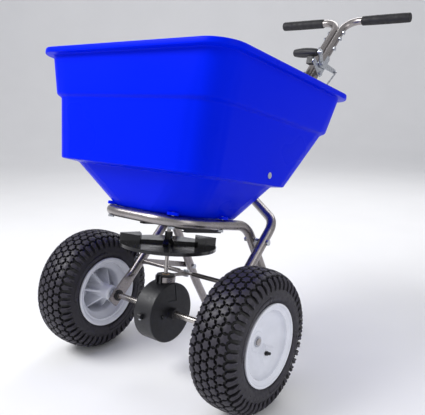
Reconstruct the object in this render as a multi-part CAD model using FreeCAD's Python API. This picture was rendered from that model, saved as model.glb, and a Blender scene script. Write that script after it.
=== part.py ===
"""Push broadcast spreader: a tapered plastic hopper on a bent-tube frame with two pneumatic wheels.

The model is drawn level, with the axle line along X through (0, 0, 0), +Y towards the person who
pushes and +Z up out of the hopper. stand_up() then leans every piece back on its rear stand and sets
the tyres on the floor, with the origin under the middle of the whole spreader. Sizes are millimetres.
"""
import FreeCAD, Part
import math
import os

V = FreeCAD.Vector

# ---- wheels: 13 x 5.00-6 pneumatic tyres on plastic dish rims -------------------------------------
tyre_radius = 165.0
tyre_width = 120.0
tyre_wall = 7.0
tyre_shoulder_radius = 34.0
tyre_bulge_rise = 16.0       # widest part of the tyre, out from the rim flange
tyre_mouth_reach = 20.0
bead_gap = 1.5
bead_radius = 76.0
wheel_centre_x = 266.0
rim_half_width = 58.0
rim_flange_radius = 95.5
rim_flange_width = 7.0
rim_wall = 5.0
bead_seat_width = 16.0
well_slope = 8.0
well_depth = 10.0
rim_mouth_step = 8.0        # the rim's mouth, in from its flange
inner_seat_width = 12.0
inner_slope = 9.0
rim_disc_x = 12.0            # back of the dish's flat middle, outboard of the wheel's middle
dish_flat_radius = 31.0
dish_edge_x = 36.0           # front of the dish where it meets the barrel
hub_face_rise = 3.0
rim_disc_thickness = 7.0
rim_rib_count = 6
rim_rib_thickness = 6.0
rib_root_x = -50.0
rib_tip_x = -8.0
hub_radius = 21.0
hub_inboard_length = 78.0    # hub boss, inboard of the wheel's middle
valve_radius = 5.0
valve_length = 22.0
valve_orbit = 49.4
valve_turn_deg = 133.0
valve_tilt_deg = 22.0
valve_root_x = 14.0
valve_cap_length = 8.0

# ---- axle, bushes and running gear ----------------------------------------------------------------
axle_radius = 8.0
axle_end_gap = 1.0
bush_flange_radius = 15.0
bush_flange_width = 3.0
bush_radius = 12.0
running_clearance = 0.05
side_clearance = 0.6
wheel_pin_radius = 3.0
wheel_pin_inset = 14.0       # drive pin, from the inboard end of the hub

# ---- bent-tube frame ------------------------------------------------------------------------------
tube_radius = 12.7
tube_wall = 1.6
hoop_half_width = 132.0
hoop_front = 146.0
hoop_corner_radius = 92.0
hoop_height = 240.5
leg_bend_y = 128.0
leg_bend_radius = 78.0
leg_knee = (142.0, 300.0, 30.0)
leg_knee_radius = 260.0
foot_heel = (152.0, 398.0)
foot_toe_y = 452.0
foot_radius = 48.0
foot_cap_length = 16.0
foot_cap_wall = 2.2
saddle_gap = 0.6             # between a leaning tube's side and what is bolted to it
side_spacer_length = 12.6
side_tube_x = hoop_half_width + 2 * tube_radius + side_spacer_length
side_tube_bend = (197.0, 258.0)
side_tube_bend_radius = 58.0
side_tube_lift_off = (44.0, 56.0)
throat_length = 26.0
side_plate_thickness = 7.0
side_plate_width = 34.0
side_plate_drop = 26.0
column_gap = 0.4             # half the gap between the two column tubes
column_x = tube_radius + column_gap
column_foot = (279.0, 329.0)
column_foot_radius = 60.0
column_joint_z = 719.0
spigot_length = 60.0
spigot_gap = 0.15
spigot_plug = 12.0
column_bolt_heights = (745.0, 850.0, 893.0, 920.0)

# ---- handlebars -----------------------------------------------------------------------------------
grip_centre = (765.0, 970.0)
grip_radius = 16.5
grip_length = 168.0
grip_inner_x = 74.0
grip_end_wall = 4.0
handle_bend_radius = 52.0

# ---- braces ---------------------------------------------------------------------------------------
cross_rod_radius = 6.0
cross_rod_z = 94.0
screw_depth = 18.0
screw_radius = 2.0
flat_end_thickness = 4.0
flat_end_width = 18.0
brace_thickness = 3.0
brace_width = 16.0
brace_gap = 0.5
bolt_radius = 4.0
bolt_head_radius = 7.5
bolt_head_height = 5.0

# ---- hopper: half width, front, rear and height of each level -------------------------------------
hopper_wall = 4.0
rim_level = (295.0, 261.6, 307.1, 607.4)
rim_lip_depth = 13.0
rim_lip_overhang = 18.0
upper_foot = (260.8, 232.4, 274.9, 501.7)
middle_top = (248.9, 225.9, 268.1, 494.7)
middle_foot = (235.1, 214.1, 144.4, 349.4)
lower_top = (211.1, 186.8, 132.3, 345.7)
seat_inset = 6.5             # the hopper's foot, in from the middle of the hoop tube
seat_gap = 0.6
lower_foot_rear = 138.0
lower_foot = (hoop_half_width - seat_inset, hoop_front - seat_inset, lower_foot_rear,
              hoop_height + tube_radius + seat_gap)
outlet_neck = (74.0, 40.0, 92.0, 226.0)
upper_corner_radius = 52.0
middle_corner_radius = 50.0
lower_corner_radius = 62.0
neck_corner_radius = 12.0
hopper_floor = 4.0
corner_bolt_deg = 40.0       # round the hoop's front corners, from straight ahead
side_bolt_y = 17.0
side_screw_y = 32.0
side_screw_z = 372.0
port_x = 34.0
port_y = 34.0
port_length = 30.0
port_width = 34.0
shaft_port_radius = 12.0

# ---- shutter --------------------------------------------------------------------------------------
guide_thickness = 6.0
guide_bush_radius = 9.0
guide_margin = 4.0
rail_height = 8.5
rail_width = 9.0
rail_lip = 5.0
rail_lip_thickness = 2.5
slide_thickness = 3.5
slide_gap = 0.4
shutter_travel = 32.0
slide_tail = 26.0
ear_half = 10.0
ear_cover = 6.0
rod_slot_reach = 5.0
shaft_slot_gap = 2.0

# ---- spinner and its drive ------------------------------------------------------------------------
shaft_lean_deg = 4.8
shaft_radius = 5.0
shaft_top = 300.0
shaft_foot = 32.0
hub_pin_z = 190.0
pinion_pin_z = 64.0
spinner_radius = 121.5
spinner_top = 173.0
spinner_skirt = 8.0
spinner_thickness = 3.0
spinner_hub_radius = 10.0
spinner_hub_height = 30.0
paddle_top = 21.0
paddle_inner_radius = 78.0
paddle_half_angle_deg = 24.0
paddle_angles_deg = (-134.0, 46.0)
low_vane_angles_deg = (-44.0, 136.0)
low_vane_height = 7.0
vane_thickness = 3.0
hub_pin_radius = 2.0
agitator_radius = 3.0
agitator_reach = 52.0
agitator_rise = 16.0

# ---- bevel gear set -------------------------------------------------------------------------------
gear_teeth = 44
pinion_teeth = 11
gear_module = 2.4
tooth_addendum = 1.6
tooth_dedendum = 2.4
tooth_thickness = 3.0
tooth_flank_deg = 20.0
gear_face_share = 0.76       # inner end of the teeth as a share of the outer cone distance
gear_back = 9.0
gear_hub_radius = 15.0
gear_hub_reach = 12.0
gear_pin_x = 4.0
pinion_back = 4.0
pinion_hub_radius = 9.0
pinion_hub_top = 70.5

# ---- gearbox casing -------------------------------------------------------------------------------
casing_radius = 76.0
casing_half_width = 29.0
casing_wall = 4.0
axle_boss_radius = 14.0
axle_boss_end = 44.0
collar_radius = 22.5
collar_top = 94.0
collar_slot = 3.0
shaft_bush_radius = 10.0
ear_screw_share = 1.0
strap_band_height = 13.0
band_gap = 11.0
ear_radius = 7.0
ear_offset = 80.5
ear_half_height = 6.0
gusset_size = 9.0
gusset_y = -38.0
ear_half_width = 5.0
collar_sink = 8.0
bore_sink = 12.0
collar_lug_half = 2.5
collar_lug_reach = 5.0
recess_line = ((6.0, 70.0), (14.0, 31.5), (-18.0, 33.0))
recess_half_width = 1.8
recess_depth = 1.4
strap_width = 24.0
strap_thickness = 3.0

# ---- rate lever -----------------------------------------------------------------------------------
lever_x = 33.0
lever_thickness = 4.0
lever_pivot = (588.0, 776.0)
lever_play = 0.3
lever_knob = (568.0, 809.0)
lever_arm_end = (690.0, 774.0)
lever_width = 24.0
arm_width = 15.0
knob_radius = 16.5
knob_end_radius = 11.0
knob_length = 88.0
knob_gap = 6.0
rod_radius = 3.0
rod_x = lever_x + lever_thickness / 2 + 4.5
rod_lower_end = (150.0, 226.0)
rod_eye_gap = 0.6
bracket_thickness = 3.0
gauge_size = (20.0, 22.0, 24.0)
gauge_centre = (546.0, 776.0)
bracket_reach = 62.0
bracket_foot_half = 11.0
bracket_tip_half = 9.0
bracket_pivot_half = 12.0
bracket_gauge_half = 10.0
knob_grooves = 10
knob_groove_radius = 1.8
knob_groove_inset = 14.0
knob_groove_rise = 0.4
knob_bore_share = 0.6

park_lean_deg = 12.6
cut_reach = 400.0            # size of a cutting block, beyond anything it cuts


# ---- where the finished spreader stands -----------------------------------------------------------
def leaned(y, z):
    """A level (y, z) point after the spreader leans back about its axle line."""
    lean = math.radians(park_lean_deg)
    return (y * math.cos(lean) + z * math.sin(lean), z * math.cos(lean) - y * math.sin(lean))


rearmost_y = leaned(*grip_centre)[0] + grip_radius
middle_y = (rearmost_y - tyre_radius) / 2


def stand_up(shape):
    """Lean the level shape back on its stand and put the origin on the floor under the middle."""
    shape = shape.copy()
    shape.rotate(V(0, 0, 0), V(1, 0, 0), -park_lean_deg)
    shape.translate(V(0, -middle_y, tyre_radius))
    return shape


def floor_z(y, height):
    """Level z of a point that stands `height` above the floor at level y."""
    lean = math.radians(park_lean_deg)
    return (height - tyre_radius + y * math.sin(lean)) / math.cos(lean)


# ---- small builders -------------------------------------------------------------------------------
def cylinder_x(radius, x0, x1, y=0.0, z=0.0):
    return Part.makeCylinder(radius, x1 - x0, V(x0, y, z), V(1, 0, 0))


def rod_between(start, end, radius):
    return Part.makeCylinder(radius, (end - start).Length, start, end - start)


def box(x0, x1, y0, y1, z0, z1):
    return Part.makeBox(x1 - x0, y1 - y0, z1 - z0, V(x0, y0, z0))


def fuse_all(shapes):
    return shapes[0].multiFuse(shapes[1:]).removeSplitter() if len(shapes) > 1 else shapes[0]


def mirrored(shape):
    return shape.mirror(V(0, 0, 0), V(1, 0, 0))


def ring(x0, x1, outer, inner, y=0.0, z=0.0):
    return cylinder_x(outer, x0, x1, y, z).cut(cylinder_x(inner, x0 - 1, x1 + 1, y, z))


def leaned_with_shaft(shape):
    """Turn a shape drawn about +Z onto the spinner shaft, which leans forward from the axle."""
    shape = shape.copy()
    shape.rotate(V(0, 0, 0), V(1, 0, 0), shaft_lean_deg)
    return shape


def shaft_point(distance, x=0.0, across=0.0):
    lean = math.radians(shaft_lean_deg)
    return V(x, across * math.cos(lean) - distance * math.sin(lean),
             across * math.sin(lean) + distance * math.cos(lean))


def rounded_path(points, radii):
    """A wire of straight runs joined by tangent arcs; radii belong to the inner points."""
    edges = []
    start = points[0]
    for before, corner, after, radius in zip(points, points[1:], points[2:], radii):
        into = (corner - before).normalize()
        out_of = (after - corner).normalize()
        turn = into.getAngle(out_of)
        setback = radius * math.tan(turn / 2)
        arc_start = corner - into * setback
        arc_end = corner + out_of * setback
        bisector = (out_of - into).normalize()
        centre = corner + bisector * (radius / math.cos(turn / 2))
        middle = centre - bisector * radius
        if (arc_start - start).Length > 1e-6:
            edges.append(Part.LineSegment(start, arc_start).toShape())
        edges.append(Part.Arc(arc_start, middle, arc_end).toShape())
        start = arc_end
    edges.append(Part.LineSegment(start, points[-1]).toShape())
    return Part.Wire(edges)


def pipe(path, radius):
    """A round solid carried along a wire."""
    first = path.OrderedEdges[0]
    begin = first.valueAt(first.FirstParameter)
    heading = first.tangentAt(first.FirstParameter)
    section = Part.Wire(Part.makeCircle(radius, begin, heading))
    return path.makePipeShell([section], True, False)


def tube(path, radius, wall):
    return pipe(path, radius).cut(pipe(path, radius - wall))


def bolt_x(x0, x1, y, z):
    """A through bolt along X: round head, shank and nut, standing on the faces at x0 and x1."""
    head = cylinder_x(bolt_head_radius, x1, x1 + bolt_head_height, y, z)
    shank = cylinder_x(bolt_radius, x0 - 1, x1 + 1, y, z)
    nut = hexagon_x(bolt_head_radius, x0 - bolt_head_height, x0, y, z)
    return fuse_all([head, shank, nut])


def hexagon_x(radius, x0, x1, y, z):
    corners = [V(x0, y + radius * math.cos(math.radians(60 * k)),
                 z + radius * math.sin(math.radians(60 * k)))
               for k in range(7)]
    return Part.Face(Part.makePolygon(corners)).extrude(V(x1 - x0, 0, 0))


def bolt_hole_x(x0, x1, y, z):
    return cylinder_x(bolt_radius, x0, x1, y, z)


# ---- wheels ---------------------------------------------------------------------------------------
def revolve_about_x(profile):
    """Turn (x, radius) points once round the X axis."""
    points = [V(x, 0, radius) for x, radius in profile]
    face = Part.Face(Part.makePolygon(points + points[:1]))
    return face.revolve(V(0, 0, 0), V(1, 0, 0), 360)


def filleted(shape, radius, wanted):
    """Round the edges whose centre of mass passes the test `wanted`."""
    edges = [edge for edge in shape.Edges if wanted(edge)]
    return shape.makeFillet(radius, edges)


def rim_shape():
    """Dish rim drawn about the wheel's own middle, outboard side towards +X."""
    flange_x = rim_half_width - rim_flange_width
    seat_x = flange_x - bead_seat_width
    well_x = seat_x - well_slope
    inner_seat_x = flange_x - inner_seat_width
    inner_well_x = inner_seat_x - inner_slope
    mouth_radius = rim_flange_radius - rim_mouth_step
    well_radius = bead_radius - well_depth
    outside = [(-rim_half_width, rim_flange_radius), (-flange_x, rim_flange_radius),
               (-flange_x, bead_radius), (-seat_x, bead_radius), (-well_x, well_radius),
               (well_x, well_radius), (seat_x, bead_radius), (flange_x, bead_radius),
               (flange_x, rim_flange_radius), (rim_half_width, rim_flange_radius)]
    inside = [(rim_half_width, mouth_radius), (inner_seat_x, bead_radius - rim_wall),
              (inner_well_x, well_radius - rim_wall), (-inner_well_x, well_radius - rim_wall),
              (-inner_seat_x, bead_radius - rim_wall), (-rim_half_width, mouth_radius)]
    barrel = revolve_about_x(outside + inside)
    floor_x = rim_disc_x
    front_x = floor_x + rim_disc_thickness
    seam_radius = well_radius + rim_wall / 2
    disc = revolve_about_x([(floor_x, hub_radius / 2), (front_x, hub_radius / 2),
                            (front_x, dish_flat_radius),
                            (dish_edge_x, seam_radius), (dish_edge_x - rim_disc_thickness, seam_radius),
                            (floor_x, dish_flat_radius)])
    hub = cylinder_x(hub_radius, -hub_inboard_length, front_x + hub_face_rise)
    ribs = [rim_rib((k + 0.5) * 360 / rim_rib_count, floor_x, well_radius - rim_wall / 2)
            for k in range(rim_rib_count)]
    return fuse_all([barrel, disc, hub] + ribs)


def rim_rib(angle, floor_x, outer):
    """A tapered web behind the dish floor, from the hub out to the barrel."""
    half = rim_rib_thickness / 2
    root = hub_radius - 3
    corners = [V(floor_x + 1, -half, root), V(rib_root_x, -half, root), V(rib_tip_x, -half, outer),
               V(dish_edge_x - rim_disc_thickness + 1, -half, outer),
               V(floor_x + 1, -half, dish_flat_radius)]
    rib = Part.Face(Part.makePolygon(corners + corners[:1])).extrude(V(0, rim_rib_thickness, 0))
    rib.rotate(V(0, 0, 0), V(1, 0, 0), angle)
    return rib


def tyre_shape():
    """Hollow tyre whose beads fill the space between the rim flanges."""
    bead_x = rim_half_width - rim_flange_width
    half = tyre_width / 2
    bulge = rim_flange_radius + tyre_bulge_rise
    mouth = bead_radius - tyre_mouth_reach
    throat = rim_flange_radius + 2 * bead_gap
    outside = [(-bead_x, bead_radius), (-bead_x, rim_flange_radius + bead_gap), (-half, bulge),
               (-half, tyre_radius),
               (half, tyre_radius), (half, bulge), (bead_x, rim_flange_radius + bead_gap),
               (bead_x, bead_radius)]
    body = filleted(revolve_about_x(outside), tyre_shoulder_radius,
                    lambda edge: edge.BoundBox.ZMax > tyre_radius - 0.1 and edge.BoundBox.XLength < 0.1)
    inner = [(-bead_x + tyre_wall, mouth), (-bead_x + tyre_wall, throat),
             (-half + tyre_wall, bulge + 2), (-half + tyre_wall, tyre_radius - tyre_wall),
             (half - tyre_wall, tyre_radius - tyre_wall), (half - tyre_wall, bulge + 2),
             (bead_x - tyre_wall, throat), (bead_x - tyre_wall, mouth)]
    crown = tyre_radius - tyre_wall - 0.1
    air = filleted(revolve_about_x(inner), tyre_shoulder_radius - tyre_wall,
                   lambda edge: edge.BoundBox.ZMax > crown and edge.BoundBox.XLength < 0.1)
    return body.cut(air)


hub_inboard_x = wheel_centre_x - hub_inboard_length
hub_outboard_x = wheel_centre_x + rim_disc_x + rim_disc_thickness + hub_face_rise
wheel_pin_x = hub_inboard_x + wheel_pin_inset
axle_end_x = hub_outboard_x - axle_end_gap


def add_wheels(nodes):
    turn = math.radians(valve_turn_deg)
    tilt = math.radians(valve_tilt_deg)
    outward = V(0, math.sin(turn), math.cos(turn))
    heading = V(math.cos(tilt), 0, 0) - outward * math.sin(tilt)
    valve_place = V(wheel_centre_x + valve_root_x, 0, 0) + outward * valve_orbit
    valve_hole = Part.makeCylinder(valve_radius, valve_length * 2, valve_place - heading * 10, heading)
    stem = Part.makeCylinder(valve_radius, valve_length, valve_place, heading)
    cap = Part.makeCylinder(valve_radius - 1.5, valve_cap_length, valve_place + heading * valve_length,
                            heading)
    place = V(wheel_centre_x, 0, 0)
    blank = rim_shape()
    blank.translate(place)
    tyre = tyre_shape()
    tyre.translate(place)
    bore = cylinder_x(axle_radius + running_clearance, hub_inboard_x - 1, hub_outboard_x + 1)
    rim = blank.cut(valve_hole)
    nodes["rim_right"] = rim.cut(bore)
    snug_bore = cylinder_x(axle_radius, hub_inboard_x - 1, hub_outboard_x + 1)
    pin = rod_between(V(-wheel_pin_x, 0, -hub_radius - 3), V(-wheel_pin_x, 0, hub_radius + 3),
                      wheel_pin_radius)
    nodes["rim_left"] = mirrored(rim.cut(snug_bore)).cut(pin)
    nodes["wheel_drive_pin"] = pin
    for side, flip in (("right", lambda s: s), ("left", mirrored)):
        nodes["tyre_" + side] = flip(tyre)
        nodes["valve_stem_" + side] = flip(fuse_all([stem, cap]))
    groove_x = hub_outboard_x + side_clearance
    nodes["axle_retaining_ring"] = ring(groove_x, groove_x + 2, axle_radius + 4, axle_radius)


def add_axle(nodes):
    groove_end = hub_outboard_x + side_clearance + 4
    pin = rod_between(V(-wheel_pin_x, 0, -30), V(-wheel_pin_x, 0, 30), wheel_pin_radius)
    nodes["axle"] = cylinder_x(axle_radius, -axle_end_x, groove_end).cut(pin)
    inner = side_tube_x + side_plate_thickness / 2 + bush_flange_width + side_clearance
    spacer = ring(inner, hub_inboard_x - side_clearance, axle_radius + 5, axle_radius)
    nodes["axle_spacers"] = Part.makeCompound([spacer, mirrored(spacer)])


# ---- frame tubes ----------------------------------------------------------------------------------
def line_point(start, end, z):
    """The point at height z on the straight line through two points."""
    return start + (end - start) * ((z - start.z) / (end.z - start.z))


leg_top = V(hoop_half_width, leg_bend_y, hoop_height)
leg_middle = V(*leg_knee)
heel = V(foot_heel[0], foot_heel[1], floor_z(foot_heel[1], tube_radius))
toe = V(foot_heel[0], foot_toe_y, floor_z(foot_toe_y, tube_radius))
lift_off = V(side_tube_x, *side_tube_lift_off)
side_bend = V(side_tube_x, *side_tube_bend)
column_base = V(column_x, *column_foot)
column_head = V(column_x, *grip_centre)
column_split = line_point(column_base, column_head, column_joint_z)


def side_line_y(z):
    return line_point(lift_off, side_bend, z).y


def hoop_path():
    """One tube: down one leg, round the front of the hopper seat and down the other leg."""
    half = [toe, heel, leg_middle, leg_top, V(hoop_half_width, -hoop_front, hoop_height)]
    other = [V(-point.x, point.y, point.z) for point in reversed(half)]
    bends = [foot_radius, leg_knee_radius, leg_bend_radius, hoop_corner_radius]
    return rounded_path(half + other, bends + bends[::-1])


def crossing():
    """Where the leg and the side tube pass each other, seen from the side."""
    low, high = 120.0, 235.0
    for _ in range(40):
        middle = (low + high) / 2
        if line_point(leg_top, leg_middle, middle).y > side_line_y(middle):
            low = middle
        else:
            high = middle
    return line_point(leg_top, leg_middle, low)


cross_point = crossing()
cross_rod_place = V(side_tube_x, side_line_y(cross_rod_z), cross_rod_z)
brace_leg = line_point(leg_top, leg_middle, cross_rod_z - 15)
brace_x = brace_leg.x + tube_radius + brace_gap


def quarter_circle_wire(centre, across, sideways, radius):
    """A circle as four arcs that meet towards the corners of the plate it is lofted to."""
    def at(quarters):
        angle = quarters * math.pi / 2
        return centre + across * (radius * math.cos(angle)) + sideways * (radius * math.sin(angle))
    return Part.Wire([Part.Arc(at(k + 0.5), at(k + 1), at(k + 1.5)).toShape() for k in range(4)])


def side_tube():
    """Lower frame tube: flattened at the axle, bent in behind the hopper, up to the handle joint."""
    run = rounded_path([lift_off, side_bend, column_base, column_split],
                       [side_tube_bend_radius, column_foot_radius])
    direction = (side_bend - lift_off).normalize()
    across = V(0, -direction.z, direction.y)
    sideways = V(1, 0, 0)
    plate_top = lift_off - direction * throat_length
    plate_foot = V(side_tube_x, 0, 0) - direction * side_plate_drop
    wide = across * (side_plate_width / 2)
    thick = sideways * (side_plate_thickness / 2)
    flat_end = [plate_top + wide + thick, plate_top - wide + thick, plate_top - wide - thick,
                plate_top + wide - thick]
    throat = Part.makeLoft([quarter_circle_wire(lift_off, across, sideways, tube_radius),
                            Part.makePolygon(flat_end + flat_end[:1])], True, True)
    foot_end = [plate_foot + wide - thick, plate_top + wide - thick, plate_top - wide - thick,
                plate_foot - wide - thick]
    plate = Part.Face(Part.makePolygon(foot_end + foot_end[:1])).extrude(thick * 2)
    body = fuse_all([tube(run, tube_radius, tube_wall), throat, plate])
    cuts = [cylinder_x(bush_radius, side_tube_x - tube_radius, side_tube_x + tube_radius)]
    low, high = side_tube_x - 2 * tube_radius, side_tube_x + 2 * tube_radius
    cuts += [bolt_hole_x(low, high, place.y, place.z) for place in (cross_point, cross_rod_place)]
    return body.cut(Part.makeCompound(cuts))


def handle_path():
    end = V(grip_inner_x + grip_length - grip_end_wall, *grip_centre)
    return rounded_path([column_split, column_head, end], [handle_bend_radius])


def handle_tube():
    """Upper tube: a spigot in the side tube, a bend and a straight end for the grip."""
    run = handle_path()
    along = (column_head - column_split).normalize()
    spigot = rod_between(column_split - along * spigot_length, column_split + along,
                         tube_radius - tube_wall - spigot_gap)
    plug = rod_between(column_split, column_split + along * spigot_plug, tube_radius - tube_wall / 2)
    body = fuse_all([tube(run, tube_radius, tube_wall), plug, spigot])
    return body.cut(Part.makeCompound([bolt_hole_x(-cut_reach, cut_reach, y, z) for y,
                                       z in column_bolts()]))


def on_column(z):
    return line_point(column_split, column_head, z)


def column_bolts():
    return [(on_column(z).y, z) for z in column_bolt_heights]


def add_frame(nodes):
    hoop = tube(hoop_path(), tube_radius, tube_wall)
    cuts = [bolt_hole_x(-cut_reach, cut_reach, place.y, place.z) for place in (cross_point, brace_leg)]
    low = hoop_height - 2 * tube_radius
    cuts += [Part.makeCylinder(bolt_radius, 4 * tube_radius, V(x, y, low)) for x, y in hopper_bolt_places()]
    nodes["hoop_and_legs"] = hoop.cut(Part.makeCompound(cuts))
    caps = foot_cap()
    nodes["foot_caps"] = Part.makeCompound([caps, mirrored(caps)])
    side = side_tube()
    handle = handle_tube()
    brace = side_brace()
    grip = grip_shape()
    bush = axle_bush()
    for name, flip in (("right", lambda s: s), ("left", mirrored)):
        nodes["side_tube_" + name] = flip(side)
        nodes["handle_tube_" + name] = flip(handle)
        nodes["side_brace_" + name] = flip(brace)
        nodes["grip_" + name] = flip(grip)
    nodes["axle_bushes"] = Part.makeCompound([bush, mirrored(bush)])
    nodes["cross_rod"] = cross_rod()
    nodes["frame_bolts"] = frame_bolts()
    nodes["frame_spacers"] = frame_spacers()
    face = column_x + tube_radius
    bolts = [bolt_x(-face, face + bracket_thickness * (k == 0), y, z) for k,
             (y, z) in enumerate(column_bolts())]
    nodes["column_bolts"] = Part.makeCompound(bolts)


def foot_cap():
    """Plastic plug on the open end of a leg: a plug inside the tube and a head as wide as the tube."""
    away = (toe - heel).normalize()
    head = rod_between(toe, toe + away * foot_cap_wall, tube_radius)
    plug = rod_between(toe - away * foot_cap_length, toe + away * 1, tube_radius - tube_wall)
    return fuse_all([head, plug])


def axle_bush():
    """Flanged bush in the side plate, flanges on both faces."""
    inner = side_tube_x - side_plate_thickness / 2
    outer = side_tube_x + side_plate_thickness / 2
    body = fuse_all([cylinder_x(bush_radius, inner - bush_flange_width, outer + bush_flange_width),
                     cylinder_x(bush_flange_radius, inner - bush_flange_width, inner),
                     cylinder_x(bush_flange_radius, outer, outer + bush_flange_width)])
    return body.cut(cylinder_x(axle_radius + running_clearance, inner - 10, outer + 10))


def side_brace():
    """Flat strap from the side tube's bolt to the leg's bolt."""
    start = V(brace_x, cross_rod_place.y, cross_rod_place.z)
    end = V(brace_x, brace_leg.y, brace_leg.z)
    strap = tapered_bar(start, brace_width / 2, end, brace_width / 2, brace_thickness)
    holes = [bolt_hole_x(brace_x - 1, brace_x + brace_thickness + 1, p.y, p.z) for p in (start, end)]
    return strap.cut(Part.makeCompound(holes))


def tapered_bar(start, start_radius, end, end_radius, thickness):
    """A flat bar in a plane across X with two round ends, its low-X face at the given points."""
    run = V(0, end.y - start.y, end.z - start.z)
    length = run.Length
    along = run.normalize()
    across = V(0, -along.z, along.y)
    lean = (start_radius - end_radius) / length
    rise = math.sqrt(1 - lean * lean)
    def tangent(point, radius, side):
        return point + along * (radius * lean) + across * (side * radius * rise)
    corners = [tangent(start, start_radius, 1), tangent(end, end_radius, 1),
               tangent(end, end_radius, -1), tangent(start, start_radius, -1)]
    web = Part.Face(Part.makePolygon(corners + corners[:1])).extrude(V(thickness, 0, 0))
    ends = [cylinder_x(radius, point.x, point.x + thickness, point.y, point.z)
            for point, radius in ((start, start_radius), (end, end_radius))]
    return fuse_all([web] + ends)


def cross_rod():
    """Rod between the two braces, flattened in the middle for the gearbox strap."""
    y, z = cross_rod_place.y, cross_rod_place.z
    rod = cylinder_x(cross_rod_radius, -brace_x, brace_x, y, z)
    flat = box(-strap_width, strap_width, y - flat_end_width / 2, y + flat_end_width / 2,
               z - flat_end_thickness / 2, z + flat_end_thickness / 2)
    slab = box(-strap_width, strap_width, y - 20, y + 20, z - 20, z + 20)
    rod = fuse_all([rod.cut(slab), flat])
    ends = [cylinder_x(bolt_radius, side * (brace_x - screw_depth) - screw_depth,
                       side * (brace_x - screw_depth) + screw_depth, y, z) for side in (-1, 1)]
    strap_hole = Part.makeCylinder(bolt_radius, 40, V(0, y, z - 20))
    return rod.cut(Part.makeCompound(ends + [strap_hole]))


def frame_bolts():
    """Crossing bolts, brace bolts and the screws into the ends of the cross rod."""
    outer = side_tube_x + tube_radius
    leg_back = tube_radius + saddle_gap
    crossing_bolt = bolt_x(cross_point.x - leg_back, outer, cross_point.y, cross_point.z)
    brace_bolt = bolt_x(brace_leg.x - leg_back, brace_x + brace_thickness, brace_leg.y, brace_leg.z)
    screw = fuse_all([cylinder_x(bolt_radius, brace_x - 2 * screw_depth, outer + 1, *cross_rod_place[1:]),
                      cylinder_x(bolt_head_radius, outer, outer + bolt_head_height, *cross_rod_place[1:])])
    one_side = [crossing_bolt, brace_bolt, screw]
    return Part.makeCompound(one_side + [mirrored(bolt) for bolt in one_side])


def frame_spacers():
    """Tubular spacers between the side tubes and what is bolted to them."""
    face = side_tube_x - tube_radius
    leg_side = cross_point.x + tube_radius + saddle_gap
    at_crossing = ring(leg_side, face, bolt_radius + 3, bolt_radius, cross_point.y, cross_point.z)
    at_brace = ring(brace_x + brace_thickness, face, bolt_radius + 3, bolt_radius, *cross_rod_place[1:])
    return Part.makeCompound([at_crossing, at_brace, mirrored(at_crossing), mirrored(at_brace)])


def grip_shape():
    y, z = grip_centre
    end = grip_inner_x + grip_length
    body = filleted(cylinder_x(grip_radius, grip_inner_x, end, y, z), 4.0, lambda edge: edge.Length > 60)
    return body.cut(cylinder_x(tube_radius, grip_inner_x - 1, end - grip_end_wall, y, z))


# ---- hopper ---------------------------------------------------------------------------------------
def level_wire(level, corner, inset=0.0, lift=0.0):
    """A rounded rectangle for one (half width, front, rear, height) level."""
    half, front, rear, height = level
    half, front, rear = half - inset, front - inset, rear - inset
    radius = max(corner - inset, 2.0)
    corners = [(half - radius, rear - radius, 0), (radius - half, rear - radius, 90),
               (radius - half, radius - front, 180), (half - radius, radius - front, 270)]
    edges = []
    ends = []
    for x, y, turn in corners:
        points = [V(x + radius * math.cos(math.radians(turn + step)),
                    y + radius * math.sin(math.radians(turn + step)), height + lift) for step in (0, 45,
                                                                                                  90)]
        ends.append((points[0], points[2]))
        edges.append(Part.Arc(*points).toShape())
    wire = []
    for k in range(4):
        wire.append(edges[k])
        wire.append(Part.LineSegment(ends[k][1], ends[(k + 1) % 4][0]).toShape())
    return Part.Wire(wire)


def tier(lower, lower_corner, upper, upper_corner, inset=0.0, low_lift=0.0, high_lift=0.0):
    return Part.makeLoft([level_wire(lower, lower_corner, inset, low_lift),
                          level_wire(upper, upper_corner, inset, high_lift)], True, True)


def hopper_steps():
    """Every level from the outlet neck to the rim, with its corner radius."""
    half, front, rear, top = rim_level
    under_lip = (half - rim_lip_overhang, front - rim_lip_overhang, rear - rim_lip_overhang,
                 top - rim_lip_depth)
    return [(outlet_neck, neck_corner_radius), (lower_foot, hoop_corner_radius - seat_inset),
            (lower_top, lower_corner_radius),
            (middle_foot, middle_corner_radius), (middle_top, middle_corner_radius),
            (upper_foot, upper_corner_radius), (under_lip, upper_corner_radius)]


def hopper_shape():
    steps = hopper_steps()
    outside = [tier(low[0], low[1], high[0], high[1]) for low, high in zip(steps, steps[1:])]
    half, front, rear, top = rim_level
    lip_foot = (half, front, rear, top - rim_lip_depth)
    outside.append(tier(lip_foot, upper_corner_radius + 12, rim_level, upper_corner_radius + 12))
    body = outside[0].multiFuse(outside[1:])
    wall = hopper_wall
    inside = [tier(steps[0][0], steps[0][1], steps[1][0], steps[1][1], wall, hopper_floor, 0)]
    inside += [tier(low[0], low[1], high[0], high[1], wall) for low, high in zip(steps[1:], steps[2:])]
    mouth = (half - rim_lip_overhang, front - rim_lip_overhang, rear - rim_lip_overhang, top + 5)
    inside.append(tier(steps[-1][0], upper_corner_radius, mouth, upper_corner_radius, wall))
    room = inside[0].multiFuse(inside[1:])
    return body.cut(room)


def ports(x_shift=0.0, y_shift=0.0, height=200.0, depth=60.0):
    """The two discharge ports, either side of the shaft."""
    return [box(side * port_x - port_width / 2, side * port_x + port_width / 2,
                port_y + y_shift - port_length / 2, port_y + y_shift + port_length / 2, height,
                height + depth)
            for side in (-1, 1)]


def shaft_y(z):
    return -z * math.tan(math.radians(shaft_lean_deg))


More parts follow.
